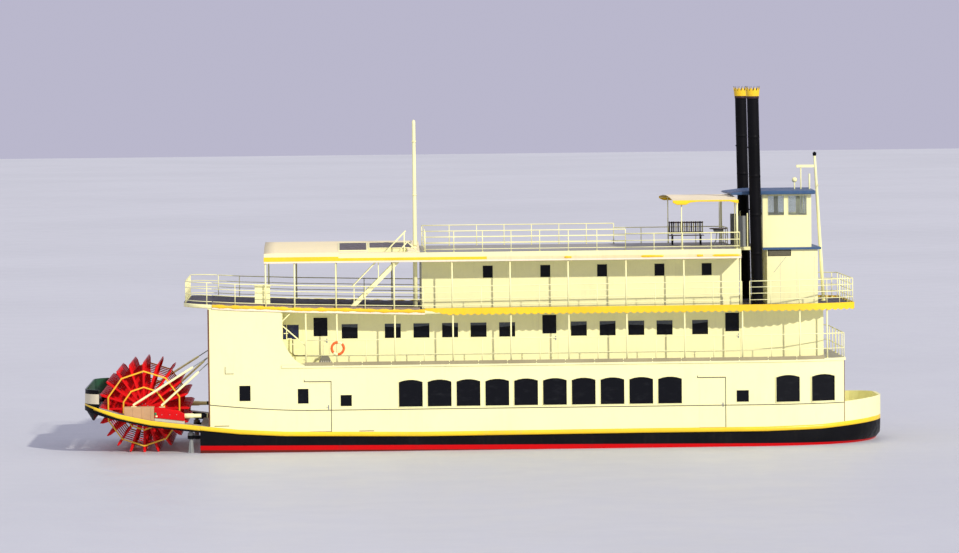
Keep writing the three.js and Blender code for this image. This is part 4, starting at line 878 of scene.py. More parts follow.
def upper_windows(trim, panes):
    """Panes with a blind drawn unevenly down behind each; a board narrows the first."""
    width, low, top = UPPER_WINDOW
    wall = -RECESS_HALF
    behind = (wall + 0.042, wall + 0.052)
    random.seed(3)
    for i, centre in enumerate(UPPER_WINDOWS_X):
        x = around(centre, width)
        frame_bars(trim, x, (low, top), wall, 0.04, 0.015, -1)
        panes.box(around(centre, width, 0.01), behind, (low - 0.01, top + 0.01), 0 if i else 2)
        if i == 0:
            trim.box((x[1] - 0.196, x[1]), (wall - 0.002, wall + 0.02), (low, top))
            panes.box((TALL_END_X + 0.065, x[0]), (wall - 0.006, wall), (low, top), 2)
            continue
        y, ends = wall + 0.03, [top - random.uniform(0.09, 0.22) for _ in x]
        blind = [(x[0], y, ends[0]), (x[1], y, ends[1]), (x[1], y, top), (x[0], y, top)]
        panes.plate(blind, (0, 0.006, 0), 1)


def pilothouse_panes(panes):
    """Panes fore and aft in the pilothouse, and in the upper deck's fore wall."""
    pilot_z, upper_z = (PILOT_SILL - 0.01, PILOT_HEAD + 0.01), (4.99, 5.66)
    for (x, middles, width), z, number in ((PILOT_FORE_PANES, pilot_z, 3), (PILOT_AFT_PANES, pilot_z, 3),
                                           (UPPER_FORE_PANES, upper_z, 0)):
        for y in middles:
            panes.box(x, around(y, width), z, number)


def window_trim():
    """Frames round the openings and panes behind them."""
    trim, panes = Form(), Form()
    arch_windows(trim, panes)
    behind = (-HULL_HALF + 0.045, -HULL_HALF + 0.055)
    for centre, width, low, top in SMALL_MAIN_WINDOWS:
        frame_bars(trim, around(centre, width), (low, top), -HULL_HALF, 0.03, 0.012, -1)
        panes.box(around(centre, width, 0.02), behind, (low - 0.02, top + 0.02))
    upper_windows(trim, panes)
    width, low, top = CABIN_WINDOW
    behind = (-RECESS_HALF + 0.03, -RECESS_HALF + 0.04)
    for centre in CABIN_WINDOWS_X:
        frame_bars(trim, around(centre, width), (low, top), -RECESS_HALF, 0.025, 0.014, -1)
        panes.box(around(centre, width, 0.01), behind, (low - 0.01, top + 0.01))
    for x in PILOT_LIGHTS_X:
        frame_bars(trim, x, (PILOT_SILL, PILOT_HEAD - 0.02), -PILOT_HALF, 0.03, 0.014, -1)
        panes.box((x[0] - 0.01, x[1] + 0.01), (-PILOT_HALF + 0.03, -PILOT_HALF + 0.038),
                  (PILOT_SILL - 0.01, PILOT_HEAD), 3)
    trim.mirror()
    panes.mirror()
    pilothouse_panes(panes)
    trim.piece("window_frames", WHITE, "white_paint", bevel=0.003, segments=1)
    panes.piece("window_panes", [DARK_GLASS, PALE_GLASS, BLUE_GLASS, CLEAR_GLASS], "window_glass")


def door_fittings():
    """Lever handles, panels and lights, each on its own door."""
    for name, (x, width, (low, top), half) in {**SHELL_DOORS, **UPPER_DOORS}.items():
        for side, out in (("starboard", -1), ("port", 1)):
            form = Form()
            y, at, handle = out * half, x + width - 0.1, low + 1.0
            proud = y + out * 0.028
            form.tube([(at, y, handle), (at, proud, handle), (at - 0.1, proud, handle)], 0.009, 8, 0)
            form.box((at - 0.03, at + 0.03), (y, y + out * 0.006), (handle - 0.1, handle + 0.1), 0)
            frame_bars(form, (x + 0.14, x + width - 0.14), (low + 0.14, low + 0.8), y, 0.012, 0.005, out, 1)
            if name in UPPER_DOORS:
                inset, bottom, head = DOOR_LIGHT
                light = (x + inset, x + width - inset)
                frame_bars(form, light, (bottom, head), y, 0.02, 0.008, out, 1)
                form.box(light, (y, y + out * 0.004), (bottom, head), 2)
            # Painted shadow: a thin grey strip on the after door where a rail post's shadow falls.
            if name == "upper_door_aft":
                form.box((x + 0.474, x + 0.488), (y, y + out * 0.003), (4.2, bottom - 0.02), 0)
            form.piece(f"{name}_{side}_fittings", [GREY_PAINT, WHITE, DARK_GLASS], "white_paint",
                       f"{name}_{side}", bevel=0.002)


def pilothouse_roof():
    """A low ridge with a thinner visor aft."""
    form = Form()
    foot, (x0, x1), half = PILOT_ROOF_Z, PILOT_ROOF_X, 2.7

    def section(x, middle, side):
        return [(x, -half, foot), (x, half, foot), (x, half, foot + side), (x, 0, foot + middle),
                (x, -half, foot + side)]

    form.loft([section(x0, 0.1, 0.08), section(x0 + 0.8, 0.25, 0.17), section(x1, 0.25, 0.17)])
    form.piece("pilothouse_roof_shell", BLUE_PAINT, "roof_blue", replaces="pilothouse_roof", bevel=0.03)


# Decks

def deck_3_slab(form):
    aft, fore = DECK_3_X
    corner = [aft + DECK_3_CORNER * t ** 2 for t in spread(0, 1, 14)]
    xs = sorted(set(corner + stations(aft + DECK_3_CORNER, fore, 0.5) + [x for x, _ in RISE]))
    sections = []
    for x in xs:
        half, top = deck_3_half(x), DECK_3 + rise(x)
        edge = ((0.03, 0.0), (0.004, 0.02), (0.0, 0.06), (0.0, 0.13), (0.012, 0.165), (0.05, DECK_3_THICK))
        sections.append(both_sides(x, [(half - inset, top - drop) for inset, drop in edge]))
    # The top face takes the dark navy: painted shade of the roof over the deck.
    form.loft(sections, [0] * 11 + [1], smooth=True)


def valance(form):
    """The scalloped skirt from the garland's end round the bow; its after ends draw up."""
    aft, fore, proud = GARLAND_X[1], DECK_3_X[1], 0.012
    side = [(x, deck_3_half(x) + proud) for x in stations(aft, fore, 0.5)]
    side[-1] = (side[-1][0] + proud, side[-1][1])
    line = [(x, -y) for x, y in side] + [(x, y) for x, y in reversed(side)]
    marks = [0.0]
    for a, b in zip(line, line[1:]):
        marks.append(marks[-1] + math.hypot(b[0] - a[0], b[1] - a[1]))
    length, per, k = marks[-1], 8, 0
    steps = int(length / SCALLOP) * per
    sections = []
    for i in range(steps + 1):
        s = length * i / steps
        while k + 2 < len(marks) and marks[k + 1] < s:
            k += 1
        t = (s - marks[k]) / (marks[k + 1] - marks[k])
        x, y = (p + (q - p) * t for p, q in zip(line[k], line[k + 1]))
        inner = (x - proud + 0.001, y * (1 - (proud - 0.001) / max(1.0, abs(y))))
        end = min(1.0, min(s, length - s) / (VALANCE_AFT_X - aft))
        bottom = VALANCE_FOOT + 0.07 * (1 - abs(math.sin(math.pi * i / per))) * end + (1 - end) * 0.24
        sections.append([(x, y, VALANCE_TOP), (x, y, bottom), (*inner, bottom), (*inner, VALANCE_TOP)])
    form.loft(sections, 2)


def deck_3():
    """The third deck: slab, soft lip aft and scalloped valance forward."""
    form = Form()
    deck_3_slab(form)
    for side in (-1, 1):
        form.strip(stations(*GARLAND_X, 0.5), (side * (DECK_HALF + 0.006), side * (DECK_HALF - 0.03)),
                   lambda x: (DECK_3 + rise(x) - 0.2, DECK_3 + rise(x) - 0.13), 3)
    valance(form)
    form.piece("third_deck", [WHITE, DECK_SHADE_NAVY, YELLOW_PAINT, LIP_PAINT], "trim_yellow", replaces="deck_3")


def garland():
    """A knobbly yellow garland along the third deck's edge, aft of the valance."""
    random.seed(7)
    form = Form()
    turns = spread(0, 2 * math.pi, 11)[:-1]
    for side in (-1, 1):
        sections = []
        for x in spread(*GARLAND_X, 300):
            swell = 0.5 + 0.5 * math.sin(x * 9.0 + side) * math.sin(x * 2.3)
            high = 0.052 + 0.052 * swell * random.uniform(0.7, 1.1)
            middle = DECK_3 + rise(x) - 0.05 + 0.01 * math.sin(x * 1.7) + random.uniform(-0.006, 0.006)
            sections.append([(x, side * (DECK_HALF - 0.004 + 0.04 * math.cos(b)), middle + high * math.sin(b))
                             for b in turns])
        form.loft(sections, 0, smooth=True)
    form.piece("deck_garland", YELLOW_PAINT, "trim_yellow")


def coaming():
    """The low board inside the third deck's starboard edge, aft."""
    form = Form()
    y = 0.19 - DECK_HALF
    form.strip(stations(-12.3, -3.0, 0.5), (y - 0.012, y + 0.012),
               lambda x: (DECK_3 + rise(x), DECK_3 + rise(x) + 0.12))
    form.piece("after_deck_coaming", COAMING_PAINT, "deck_grey", bevel=0.004)


def deck_4_trim():
    """The yellow band and pink lip under the fourth deck's edge, with what is left of its garland."""
    form = Form()
    half, proud = DECK_HALF, 0.012
    band, aft_band, lip = (8.54, 8.67), (8.54, 8.735), (8.46, 8.54)
    for side in (-1, 1):
        y = (side * half, side * (half + proud))
        form.box((ROOF_X[0] - proud, FASCIA_X), y, aft_band, 0)
        form.box((ROOF_X[0], FASCIA_X), y, (aft_band[1], DECK_4 + 0.01), 2)
        form.box((FASCIA_X, 0.0), y, band, 0)
        form.box((0.0, DECK_4_FORE_X + proud), y, band, 3)
        form.box((ROOF_X[0], DECK_4_FORE_X), (side * (half - 0.05), side * (half + 0.006)), lip, 1)
    for x, out in ((ROOF_X[0], -1), (DECK_4_FORE_X, 1)):
        form.box((x, x + out * proud), (-half, half), band, 0)
        form.box((x - out * 0.05, x + out * 0.006), (-half, half), lip, 1)
    for first, last in DECK_4_BULGES:
        bulge = [(first + (last - first) * t, 0.016 - half, 8.6) for t in (0, 0.12, 0.4, 0.7, 0.9, 1)]
        form.tube(bulge, [0.02, 0.058, 0.064, 0.054, 0.06, 0.02], 10, 0)
    paints = [YELLOW_PAINT, LIP_PAINT, ROOF_PAINT, FADED_PAINT]
    form.piece("fourth_deck_trim", paints, "trim_yellow", bevel=0.004)


def roof_skin():
    """A smooth sheet over the cambered roof, open at the stair hatch."""
    form = Form()
    (hx0, hx1), (hy0, hy1) = HATCH
    xs = sorted(set(spread(*ROOF_X, 15) + [hx0, hx1]))
    ys = sorted(set(spread(-DECK_HALF, DECK_HALF, 41) + [hy0, hy1]))
    faces = []
    for i, x in enumerate(xs[:-1]):
        for j, y in enumerate(ys[:-1]):
            if not (hx0 <= x + 0.01 < hx1 and hy0 <= y + 0.01 < hy1):
                a = i * len(ys) + j
                faces.append((a, a + len(ys), a + len(ys) + 1, a + 1))
    form.add([(x, y, roof_z(y) + 0.006) for x in xs for y in ys], faces, 0, True)
    sheet = form.piece("roof_skin", ROOF_PAINT, "white_paint").modifiers.new("sheet", "SOLIDIFY")
    sheet.thickness, sheet.offset = 0.012, 1.0


def roof_panels():
    """Two dark panels on the roof, with pale frames."""
    form = Form()

    def plate(x, rows, top, paint):
        form.loft([[(x[0], v, roof_z(v) + 0.004), (x[1], v, roof_z(v) + 0.004), (x[1], v, roof_z(v) + top),
                    (x[0], v, roof_z(v) + top)] for v in rows], paint)

    for x, y in ROOF_PANELS:
        plate(x, spread(*y, 9), 0.034, 0)
        for edge in x:
            plate((edge - 0.03, edge + 0.03), spread(*y, 9), 0.044, 1)
        for v in y:
            form.box(x, (v - 0.03, v + 0.03), (roof_z(v) - 0.01, roof_z(v) + 0.044), 1)
    form.piece("roof_panels", [MAUVE_PANEL, WHITE], "white_paint", bevel=0.004)


# Rails

def rail(form, points, bars, feet, posts=(), post_top=None, stands=None, lift=lambda x: 0.0):
    """Round bars along plan points, with stanchions there or at stands, and tall ones at posts.

    lift is how much higher than level the bars run at x."""
    sides = 8
    for i, height in enumerate(bars):
        radius = TOP_BAR_RADIUS if i == len(bars) - 1 else BAR_RADIUS
        form.tube([(x, y, feet(x) + height + lift(x)) for x, y in points], radius, sides)
    for x, y in stands or points:
        tall = any(abs(p - x) < 0.002 for p in posts)
        top = post_top(x) if tall else feet(x) + bars[-1] + lift(x)
        radius = POST_RADIUS if tall else STAND_RADIUS
        form.tube([(x, y, feet(x) - 0.004), (x, y, top)], radius, sides)
        form.tube([(x, y, feet(x)), (x, y, feet(x) + 0.012)], radius + 0.03, sides)


def second_deck_rails():
    form = Form()
    between = [DECK_2_EVEN_X + POST_PITCH * (i + 0.5) for i in range(8)]
    xs = sorted([*DECK_2_POSTS_X, *between, HOUSE_FORE_X])
    line = [(x, RAIL_EDGE - bow_half(x, DECK_HALF)) for x in xs]
    line += [(HOUSE_FORE_X, y) for y in (-2.6, -1.3, -0.1)]
    rail(form, line, DECK_2_BARS, lambda x: DECK_2, DECK_2_POSTS_X, lambda x: DECK_3 - DECK_3_THICK + rise(x))
    form.mirror().piece("second_deck_rails", WHITE, "white_paint", replaces=sided("deck_2_rail"))


def deck_3_feet(x):
    return DECK_3 + rise(x)


def deck_3_lift(x):
    """The third deck's bars run straighter than its edge."""
    return 0.0063 * (x + 6) - 0.1


def third_deck_rails():
    form = Form()
    y, head = RAIL_EDGE - DECK_HALF, DECK_4 - 0.34
    between = [DECK_3_EVEN_X + POST_PITCH * (i + 0.5) for i in range(6)]
    xs = sorted([-12.25, -11.27, *DECK_3_POSTS_X, *between, 10.121, 10.121 + POST_PITCH / 2])
    line = [(x, y) for x in xs]
    rail(form, line, DECK_3_BARS, deck_3_feet, DECK_3_POSTS_X, lambda x: head, line[1:], deck_3_lift)
    form.tube([(11.36, y, DECK_3), (11.36, y, head)], POST_RADIUS, 8)
    form.mirror().piece("third_deck_rails", WHITE, "white_paint", replaces=sided("deck_3_rail"))


def stern_rail():
    form = Form()
    aft, radius = DECK_3_X[0], DECK_3_CORNER - RAIL_EDGE
    cx, cy = aft + DECK_3_CORNER, DECK_HALF - DECK_3_CORNER
    corner = [(cx - radius * math.sin(a), cy + radius * math.cos(a)) for a in spread(0, math.pi / 2, 7)]
    across = [(aft + RAIL_EDGE, 2.1 - 1.05 * i) for i in range(5)]
    points = corner + across + [(x, -y) for x, y in reversed(corner)]
    turn = math.radians(10.9)
    near = (cx - radius * math.sin(turn), -cy - radius * math.cos(turn))
    last = corner[-1]
    stands = [(-12.25, DECK_HALF - RAIL_EDGE), near, last, *across, (last[0], -last[1])]
    rail(form, points, DECK_3_BARS, deck_3_feet, stands=stands, lift=deck_3_lift)
    form.piece("third_deck_stern_rail", WHITE, "white_paint", replaces="deck_3_stern_rail")


def bow_rail():
    form = Form()
    xs = (11.78, 12.719, 14.018, 14.7, 15.3, 15.9, 16.3, 16.54)
    side = [(x, deck_3_half(x) - RAIL_EDGE) for x in xs]
    points = side + [(xs[-1], y) for y in (2, 1, 0, -1, -2)] + [(x, -y) for x, y in reversed(side)]
    rail(form, points, DECK_3_BARS, deck_3_feet, lift=deck_3_lift)
    form.piece("third_deck_bow_rail", WHITE, "white_paint", replaces="deck_3_bow_rail")


def fourth_deck_rails():
    form = Form()
    y, xs = DECK_HALF - RAIL_EDGE, DECK_4_RAIL_X

    def line(points, bars, **more):
        rail(form, points, bars, lambda x: DECK_4, **more)

    line([(x, -y) for x in xs[:LOW_RAIL_FROM + 1]], DECK_4_BARS)
    line([(x, -y) for x in xs[LOW_RAIL_FROM:]], DECK_4_LOW_BARS)
    line([(xs[-1], -y), (xs[-1], -3.1), (xs[-1], -2.05)], DECK_4_LOW_BARS)
    form.mirror()
    back = [(xs[0], -2.6 + 1.398 * i) for i in range(6)]
    line(back, DECK_4_BARS, stands=[back[0], back[-1]])
    for x, z in ((-3.95, 8.92), (-3.13, 8.97)):
        form.tube([(x, -y, z), (-3.55, -y, 9.36)], 0.028, 8)
    form.piece("fourth_deck_rails", WHITE, "white_paint", replaces=sided("deck_4_rail"))


# Fittings on the decks

def life_ring():
    form = Form()
    centre, ring, thick, parts, steps = Vector(LIFE_RING), 0.27, 0.055, 8, 5
    for part in range(parts):
        sections = []
        swell = thick * (1.0 if part % 2 else 1.06)
        for k in range(steps + 1):
            a = 2 * math.pi * (part * steps + k) / (parts * steps)
            out = Vector((math.cos(a), 0, math.sin(a)))
            sections.append([centre + out * (ring + u) + Vector((0, v, 0)) for u, v in circle(swell, 12)])
        form.loft(sections, 1 if part % 4 == 1 else 0, smooth=True)
    form.piece("life_ring", [ORANGE_PAINT, WHITE], "white_paint")


def locker(form):
    (x0, x1), (y0, y1), top = LOCKER
    form.box((x0, x1), (y0, y1), (DECK_3 + rise(-10.05), top), 0)
    form.box((x0 - 0.03, x1 + 0.03), (y0 - 0.03, y1 + 0.03), (top, top + 0.06), 0)


def recess_fittings(form):
    """A stay, a short stair with handrails, a vent with its grille, and a pipe at the recess's after end."""
    form.tube([(-8.8, -4.3, 6.24), (TALL_END_X + 0.005, -4.3, 5.82)], 0.03, 8, 0)
    near, far = -4.24, -3.98
    tread_x, going, tread_z, step = -8.2, 0.16, 4.1, 0.24
    for y in (near, far):
        form.tube([(-9.16, y, 5.64), (-8.12, y, 4.73), (-8.12, y, DECK_2)], 0.024, 8, 0)
    for i in range(6):
        x, z = tread_x - going * i, tread_z + step * i
        form.box((x - 0.12, x + 0.08), (near, far), (z, z + 0.03), 0)
    vent = ((-7.56, -6.97, DECK_2), (-7.55, -6.98, 4.0), (-7.43, -7.14, 4.3))
    form.loft([[(a, -4.33, z), (b, -4.33, z), (b, -4.05, z), (a, -4.05, z)] for a, b, z in vent], 5)
    for i in range(5):
        form.box((-7.47 + 0.1 * i, -7.43 + 0.1 * i), (-4.345, -4.325), (3.95, 4.08), 2)
    pipe = [(-8.726, 4.967), (-8.726, 4.36), (-8.7, 4.29), (-8.64, 4.27), (-7.445, 4.25)]
    form.tube([(x, -RECESS_HALF - 0.02, z) for x, z in pipe], 0.02, 8, 5)


def tower_fittings(form):
    """A louvre under the ledge with a black backing that paints the shade behind its slats, grey screens on
    the bridge that paint the funnel's shadow, a stay and the tower's seams.
    """
    face, (aft, fore), (low, high) = -TOWER_HALF, (12.8, 13.84), (8.46, 8.74)
    # Painted shade: a black plate behind the slats stands in for the dark opening of the louvre.
    form.box((aft, fore), (face - 0.02, face), (low, high), 3)
    slat, pitch, near, far = (aft + 0.03, fore - 0.03), 0.042, face - 0.018, face - 0.045
    for i in range(6):
        z = low + 0.025 + pitch * i
        outline = [(slat[0], near, z + 0.025), (slat[1], near, z + 0.025)]
        outline += [(slat[1], far, z), (slat[0], far, z)]
        form.plate(outline, (0, 0, 0.006), 5)
    # Painted shadow: the grey of these screens stands in for the near funnel's shadow on the white wall
    # behind it.
    for side in (-1, 1):
        form.box((11.46, 11.84), (side * 1.86, side * 1.82), (DECK_4, 10.28), 1)
        form.tube([(11.92, side * 1.84, DECK_4), (11.92, side * 1.84, 10.4)], 0.03, 8, 0)
    form.tube([(13.05, face - 0.012, 7.72), (13.62, face - 0.012, 8.42)], 0.008, 6, 1)
    for x in (13.35, 14.1, 14.9):
        form.box((x - 0.006, x + 0.006), (face - 0.006, face), (DECK_3 + 0.02, LEDGE_Z - 0.32), 4)


def roof_gear(form):
    """Scanner, post and globe lamp on the pilothouse."""
    y, foot = -1.5, 11.45
    for x, top, radius, sides in ((14.4, 12.45, 0.03, 10), (14.79, 12.15, 0.04, 10), (14.11, 11.78, 0.03, 8)):
        form.tube([(x, y, foot), (x, y, top)], radius, sides, 0)
    form.box((14.2, 15.0), (y - 0.07, y + 0.07), (12.44, 12.56), 0)
    globe = [(0.12 * math.cos(a), 11.88 + 0.12 * math.sin(a)) for a in spread(-1.4, 1.4, 9)]
    form.tube([(14.11, y, z) for _, z in globe], [r for r, _ in globe], 16, 0)


def deck_fittings():
    form = Form()
    locker(form)
    recess_fittings(form)
    roof_gear(form)
    tower_fittings(form)
    paints = [WHITE, GREY_PAINT, PALE_GREY, BLACK_PAINT, SEAM_PAINT, OLIVE_PAINT]
    form.piece("deck_fittings", paints, "white_paint", bevel=0.004)


def canopy():
    """One curved sheet on its bows: it sags a little between the posts, and its edge hangs unevenly."""
    form = Form()
    skirt, spare, sag_deep = 0.13, 0.02, 0.012
    rows = []
    for x in spread(CANOPY_X[0] + spare, CANOPY_X[1] - spare, 61):
        nearest = min(abs(x - p) for p in CANOPY_POSTS_X)
        sag = sag_deep * math.sin(math.pi * min(1.0, nearest / 1.25))
        hem = along(CANOPY_HEM, x)
        line = []
        for v in spread(-1, 1, 45):
            y = v * CANOPY_HALF
            line.append((x, y, canopy_z(y) - sag * (1 - v * v)))
        first = [(x, -CANOPY_HALF, CANOPY_EDGE - hem * s) for s in (1.0, 0.66, 0.33)]
        rows.append(first + line + [(x, -y, z) for x, y, z in reversed(first)])
    form.loft(rows, 0, smooth=True, closed=False)
    obj = form.piece("canopy_cloth", CLOTH, "canopy_cloth", replaces="canopy", weld=False)
    cloth = obj.modifiers.new("cloth", "SOLIDIFY")
    cloth.thickness, cloth.offset = 0.003, -1.0


def canopy_frame():
    form = Form()
    y, low = CANOPY_HALF - 0.15, 0.05
    for x in CANOPY_POSTS_X:
        thick = 0.024 if x < 9 else 0.045
        for v in (-y, y):
            form.tube([(x, v, DECK_4), (x, v, canopy_z(v) - low)], thick, 12)
            form.tube([(x, v, DECK_4), (x, v, DECK_4 + 0.015)], thick + 0.04, 12)
        form.tube([(x, v, canopy_z(v) - low) for v in spread(-y, y, 25)], 0.02, 8)
    for v in (-y, y):
        form.tube([(x, v, canopy_z(v) - low) for x in (CANOPY_X[0] + 0.06, CANOPY_X[1] - 0.03)], 0.02, 8)
    for v in (0.09 - y, y - 0.09):
        form.tube([(11.15, v, DECK_4), (11.15, v, canopy_z(v) - 0.06)], 0.024, 10)
    form.piece("canopy_bows", WHITE, "white_paint", replaces="canopy_frame")


def bench():
    form = Form()
    x, (back, seat, top) = BENCH_X, BENCH_SIZE
    for i in range(5):
        y = back - 0.47 + 0.11 * i
        form.box(x, (y, y + 0.07), (seat, seat + 0.03), 0)
    for i, u in enumerate(spread(x[0] + 0.04, x[1] - 0.04, 16)):
        form.box((u - 0.03, u + 0.03), (back + 0.06, back + 0.09), (seat + 0.1, top), i % 2)
    for z in (seat + 0.12, top - 0.08):
        form.box(x, (back + 0.05, back + 0.06), (z, z + 0.06), 0)
    for end in (x[0] + 0.15, x[1] - 0.15):
        across = (end - 0.03, end + 0.03)
        form.box(across, (back - 0.48, back + 0.06), (seat - 0.06, seat), 2)
        form.box(across, (back - 0.48, back - 0.42), (DECK_4, seat - 0.06), 2)
        form.box(across, (back, back + 0.05), (DECK_4, top), 2)
    form.piece("slatted_bench", [TIMBER, WHITE, BLACK_PAINT], "bench_wood", replaces="bench", bevel=0.006)


def table():
    form = Form()
    cx, cy, top = TABLE
    board = ((0.36, 0), (0.4, 0.012), (0.4, 0.04), (0.36, 0.05))
    stem = ((0.2, -0.12), (0.24, -0.01))
    for number, steps in enumerate((board, stem)):
        rings = [[(cx + u, cy + v, top + z) for u, v in circle(r, 32)] for r, z in steps]
        form.loft(rings, number, smooth=True)
    for k in range(4):
        a = math.pi / 4 + math.pi / 2 * k
        leg = ((0.08, top - 0.1), (0.12, 9.25), (0.3, DECK_4))
        form.tube([(cx + r * math.cos(a), cy + r * math.sin(a), z) for r, z in leg], 0.02, 8, 1)
    form.piece("deck_table", [MAUVE_PANEL, GREY_PAINT], "white_paint")


# Funnels and masts

def funnel_ring(z, radius):
    return [(funnel_x(z) + u, v - FUNNEL_Y, z) for u, v in circle(radius, FUNNEL_SIDES)]


def funnel_point(z, radius, a):
    return funnel_x(z) + radius * math.cos(a), -FUNNEL_Y + radius * math.sin(a), z


def funnel_tubes():
    """Banded tubes, open down to a floor, with a flange at the foot and a dull red collar under the crown."""
    form = Form()
    r, foot, floor, collar = FUNNEL_RADIUS, DECK_3 + 0.002, 12.0, CROWN_FOOT_Z
    outline = [(foot, r)]
    for z in spread(8.6, 15.6, 5):
        outline += [(z + up, r + out) for up, out in
                    ((-0.1, 0), (-0.02, 0), (-0.014, 0.008), (0.014, 0.008), (0.02, 0), (0.1, 0))]
    outline += [(collar, r), (16.0, r + 0.025), (16.0, r + 0.01), (collar, r - 0.015), (floor, r - 0.015)]
    form.loft([funnel_ring(z, radius) for z, radius in outline], 0, smooth=True, caps=False)
    for z, radius in ((floor, r - 0.015), (foot, r)):
        form.add(funnel_ring(z, radius), [tuple(range(FUNNEL_SIDES))], 0)
    flange = ((0.001, 0.012), (0.001, 0.06), (0.02, 0.06), (0.02, 0.012))
    form.loft([funnel_ring(DECK_3 + z, r + w) for z, w in flange], 0, caps=False)
    band = ((15.6, 0.002), (15.6, 0.014), (collar, 0.016), (collar, 0.002))
    form.loft([funnel_ring(z, r + w) for z, w in band], 1, caps=False)
    for z in (10.6, 13.4):
        form.tube([(funnel_x(z) - r + out, -FUNNEL_Y, z) for out in (-0.03, 0.01)], 0.03, 8, 0)
    form.mirror()
    form.piece("funnel_tubes", [FUNNEL_PAINT, DULL_RED], "funnel_black", replaces=sided("funnel"), weld=False)


def funnel_crowns():
    """Flared crowns of pointed leaves with a dark prong between each two."""
    form = Form()
    r, foot, leaves, per = FUNNEL_RADIUS, CROWN_FOOT_Z, 12, 6
    count = leaves * per
    walls = []
    for extra in (0.024, 0.012):
        for i in range(count):
            a, peak = 2 * math.pi * i / count, 1 - abs((i % per) / (per / 2) - 1)
            walls.append(funnel_point(foot, r + extra, a))
            walls.append(funnel_point(15.93 + 0.17 * peak, r + extra + 0.025 + 0.02 * peak, a))
    faces, half = [], 2 * count
    for i in range(count):
        j = (i + 1) % count
        a, b, c, d = 2 * i, 2 * j, 2 * j + 1, 2 * i + 1
        faces += [(a, b, c, d), (half + d, half + c, half + b, half + a), (d, c, half + c, half + d),
                  (a, half + a, half + b, b)]
    form.add(walls, faces)
    for i in range(leaves):
        a = 2 * math.pi * (i + 0.5) / leaves
        prong = ((15.72, r + 0.01), (16.0, r + 0.04), (CROWN_Z, r + 0.05))
        form.tube([funnel_point(z, radius, a) for z, radius in prong], [0.018, 0.014, 0.004], 6, 1)
    form.mirror()
    form.piece("funnel_crowns", [YELLOW_PAINT, BLACK_PAINT], "trim_yellow")


def after_mast():
    form = Form()
    x, y, top = AFT_MAST
    foot = DECK_3 + rise(x)
    heights = [foot, 8.7, 11.0, 13.2, 14.55, 14.72, top]
    radii = [0.1 - 0.026 * (z - foot) / (top - foot) for z in heights[:-1]] + [0.03]
    form.tube([(x, y, z) for z in heights], radii, 20)
    for z in (DECK_4 + 0.3, 11.4, 13.8):
        form.tube([(x, y, z), (x, y, z + 0.06)], 0.1, 20)
    form.tube([(x, y - 0.24, 13.83), (x, y + 0.24, 13.83)], 0.02, 8)
    form.piece("after_mast", WHITE, "white_paint", replaces="aft_mast")


def fore_mast():
    form = Form()
    (fx, fz), (tx, tz) = FORE_MAST
    form.tube([(fx + (tx - fx) * t, 0, fz + (tz - fz) * t) for t in (0, 0.3, 0.6, 0.9, 1)],
              [0.08, 0.076, 0.07, 0.062, 0.056], 18)
    form.tube([(fx + 0.002, 0, fz), (fx, 0, fz + 0.03)], 0.13, 18)
    lamp = [(-0.06, 0.05), (-0.05, 0.08), (0.04, 0.085), (0.05, 0.095), (0.07, 0.095), (0.12, 0.03),
            (0.13, 0.015)]
    form.tube([(tx, 0, tz + z) for z, _ in lamp], [r for _, r in lamp], 18, 1)
    form.tube([(tx + 0.16, -0.22, 11.6), (tx + 0.12, 0.22, 11.6)], 0.018, 8)
    form.piece("fore_mast_pole", [WHITE, BLACK_PAINT], "white_paint", replaces="fore_mast")


# Paddle wheel and its gear

def turned(form, a, x, y, z, paint=0):
    """A box given in the wheel's own turn a: x across the arm, z out along it."""
    points = [(u, v, w) for u in x for v in y for w in z]
    cos, sin = math.cos(a), math.sin(a)
    points = [(WHEEL_X + u * cos + w * sin, v, WHEEL_Z - u * sin + w * cos) for u, v, w in points]
    faces = [(0, 1, 3, 2), (4, 6, 7, 5), (0, 4, 5, 1), (2, 3, 7, 6), (0, 2, 6, 4), (1, 5, 7, 3)]
    form.add(points, faces, paint)


def hub(form, y, half, radii, paint=0):
    small, large = radii
    steps = [(y + half * t, small if abs(t) > 0.45 else large) for t in (-1, -0.5, -0.4, 0.4, 0.5, 1)]
    form.loft([[(WHEEL_X + u, v, WHEEL_Z + w) for u, w in circle(r, 32)] for v, r in steps], paint)


ARM_TURNS = [2 * math.pi * i / FLOATS for i in range(FLOATS)]


def wheel_boards():
    """Three planks to a float, each worn a little differently, bolted to every frame."""
    form = Form()
    random.seed(11)
    edge, plank = SIDE_FRAME_Y - 0.06, FLOAT_HEIGHT / 3
    for a in ARM_TURNS:
        for k in range(3):
            low = FLOAT_RADIUS - FLOAT_HEIGHT + k * plank
            wear = random.uniform(0.0, 0.012)
            ends = (wear - edge, edge - random.uniform(0, 0.012))
            turned(form, a, (-0.022, 0.022), ends, (low, low + plank - 0.006))
        for y in (*SPIDERS_Y, 0.1 - edge, edge - 0.1):
            for w in (FLOAT_RADIUS - 0.35, FLOAT_RADIUS - 0.1):
                turned(form, a, (-0.034, 0.034), (y - 0.018, y + 0.018), (w - 0.018, w + 0.018), 1)
    form.piece("wheel_boards", [RED_PAINT, RED_DARK], "wheel_red", "paddle_wheel", "wheel_floats", 0.004, 1)


def wheel_spiders():
    form = Form()
    for y in SPIDERS_Y:
        for a in ARM_TURNS:
            turned(form, a, (-0.042, 0.042), (y - 0.022, y + 0.022), (0.2, FLOAT_RADIUS - 0.07))
        hub(form, y, 0.12, (0.17, 0.26))
        for radius in RINGS:
            wheel_ring(form, radius, y - 0.018, y + 0.018, 0.05, 0)
    form.tube([(WHEEL_X, -LEG_Y, WHEEL_Z), (WHEEL_X, LEG_Y, WHEEL_Z)], 0.09, 32, 1)
    form.piece("wheel_spiders", [RED_PAINT, GREY_PAINT], "wheel_red", "paddle_wheel", (), 0.006, 1)


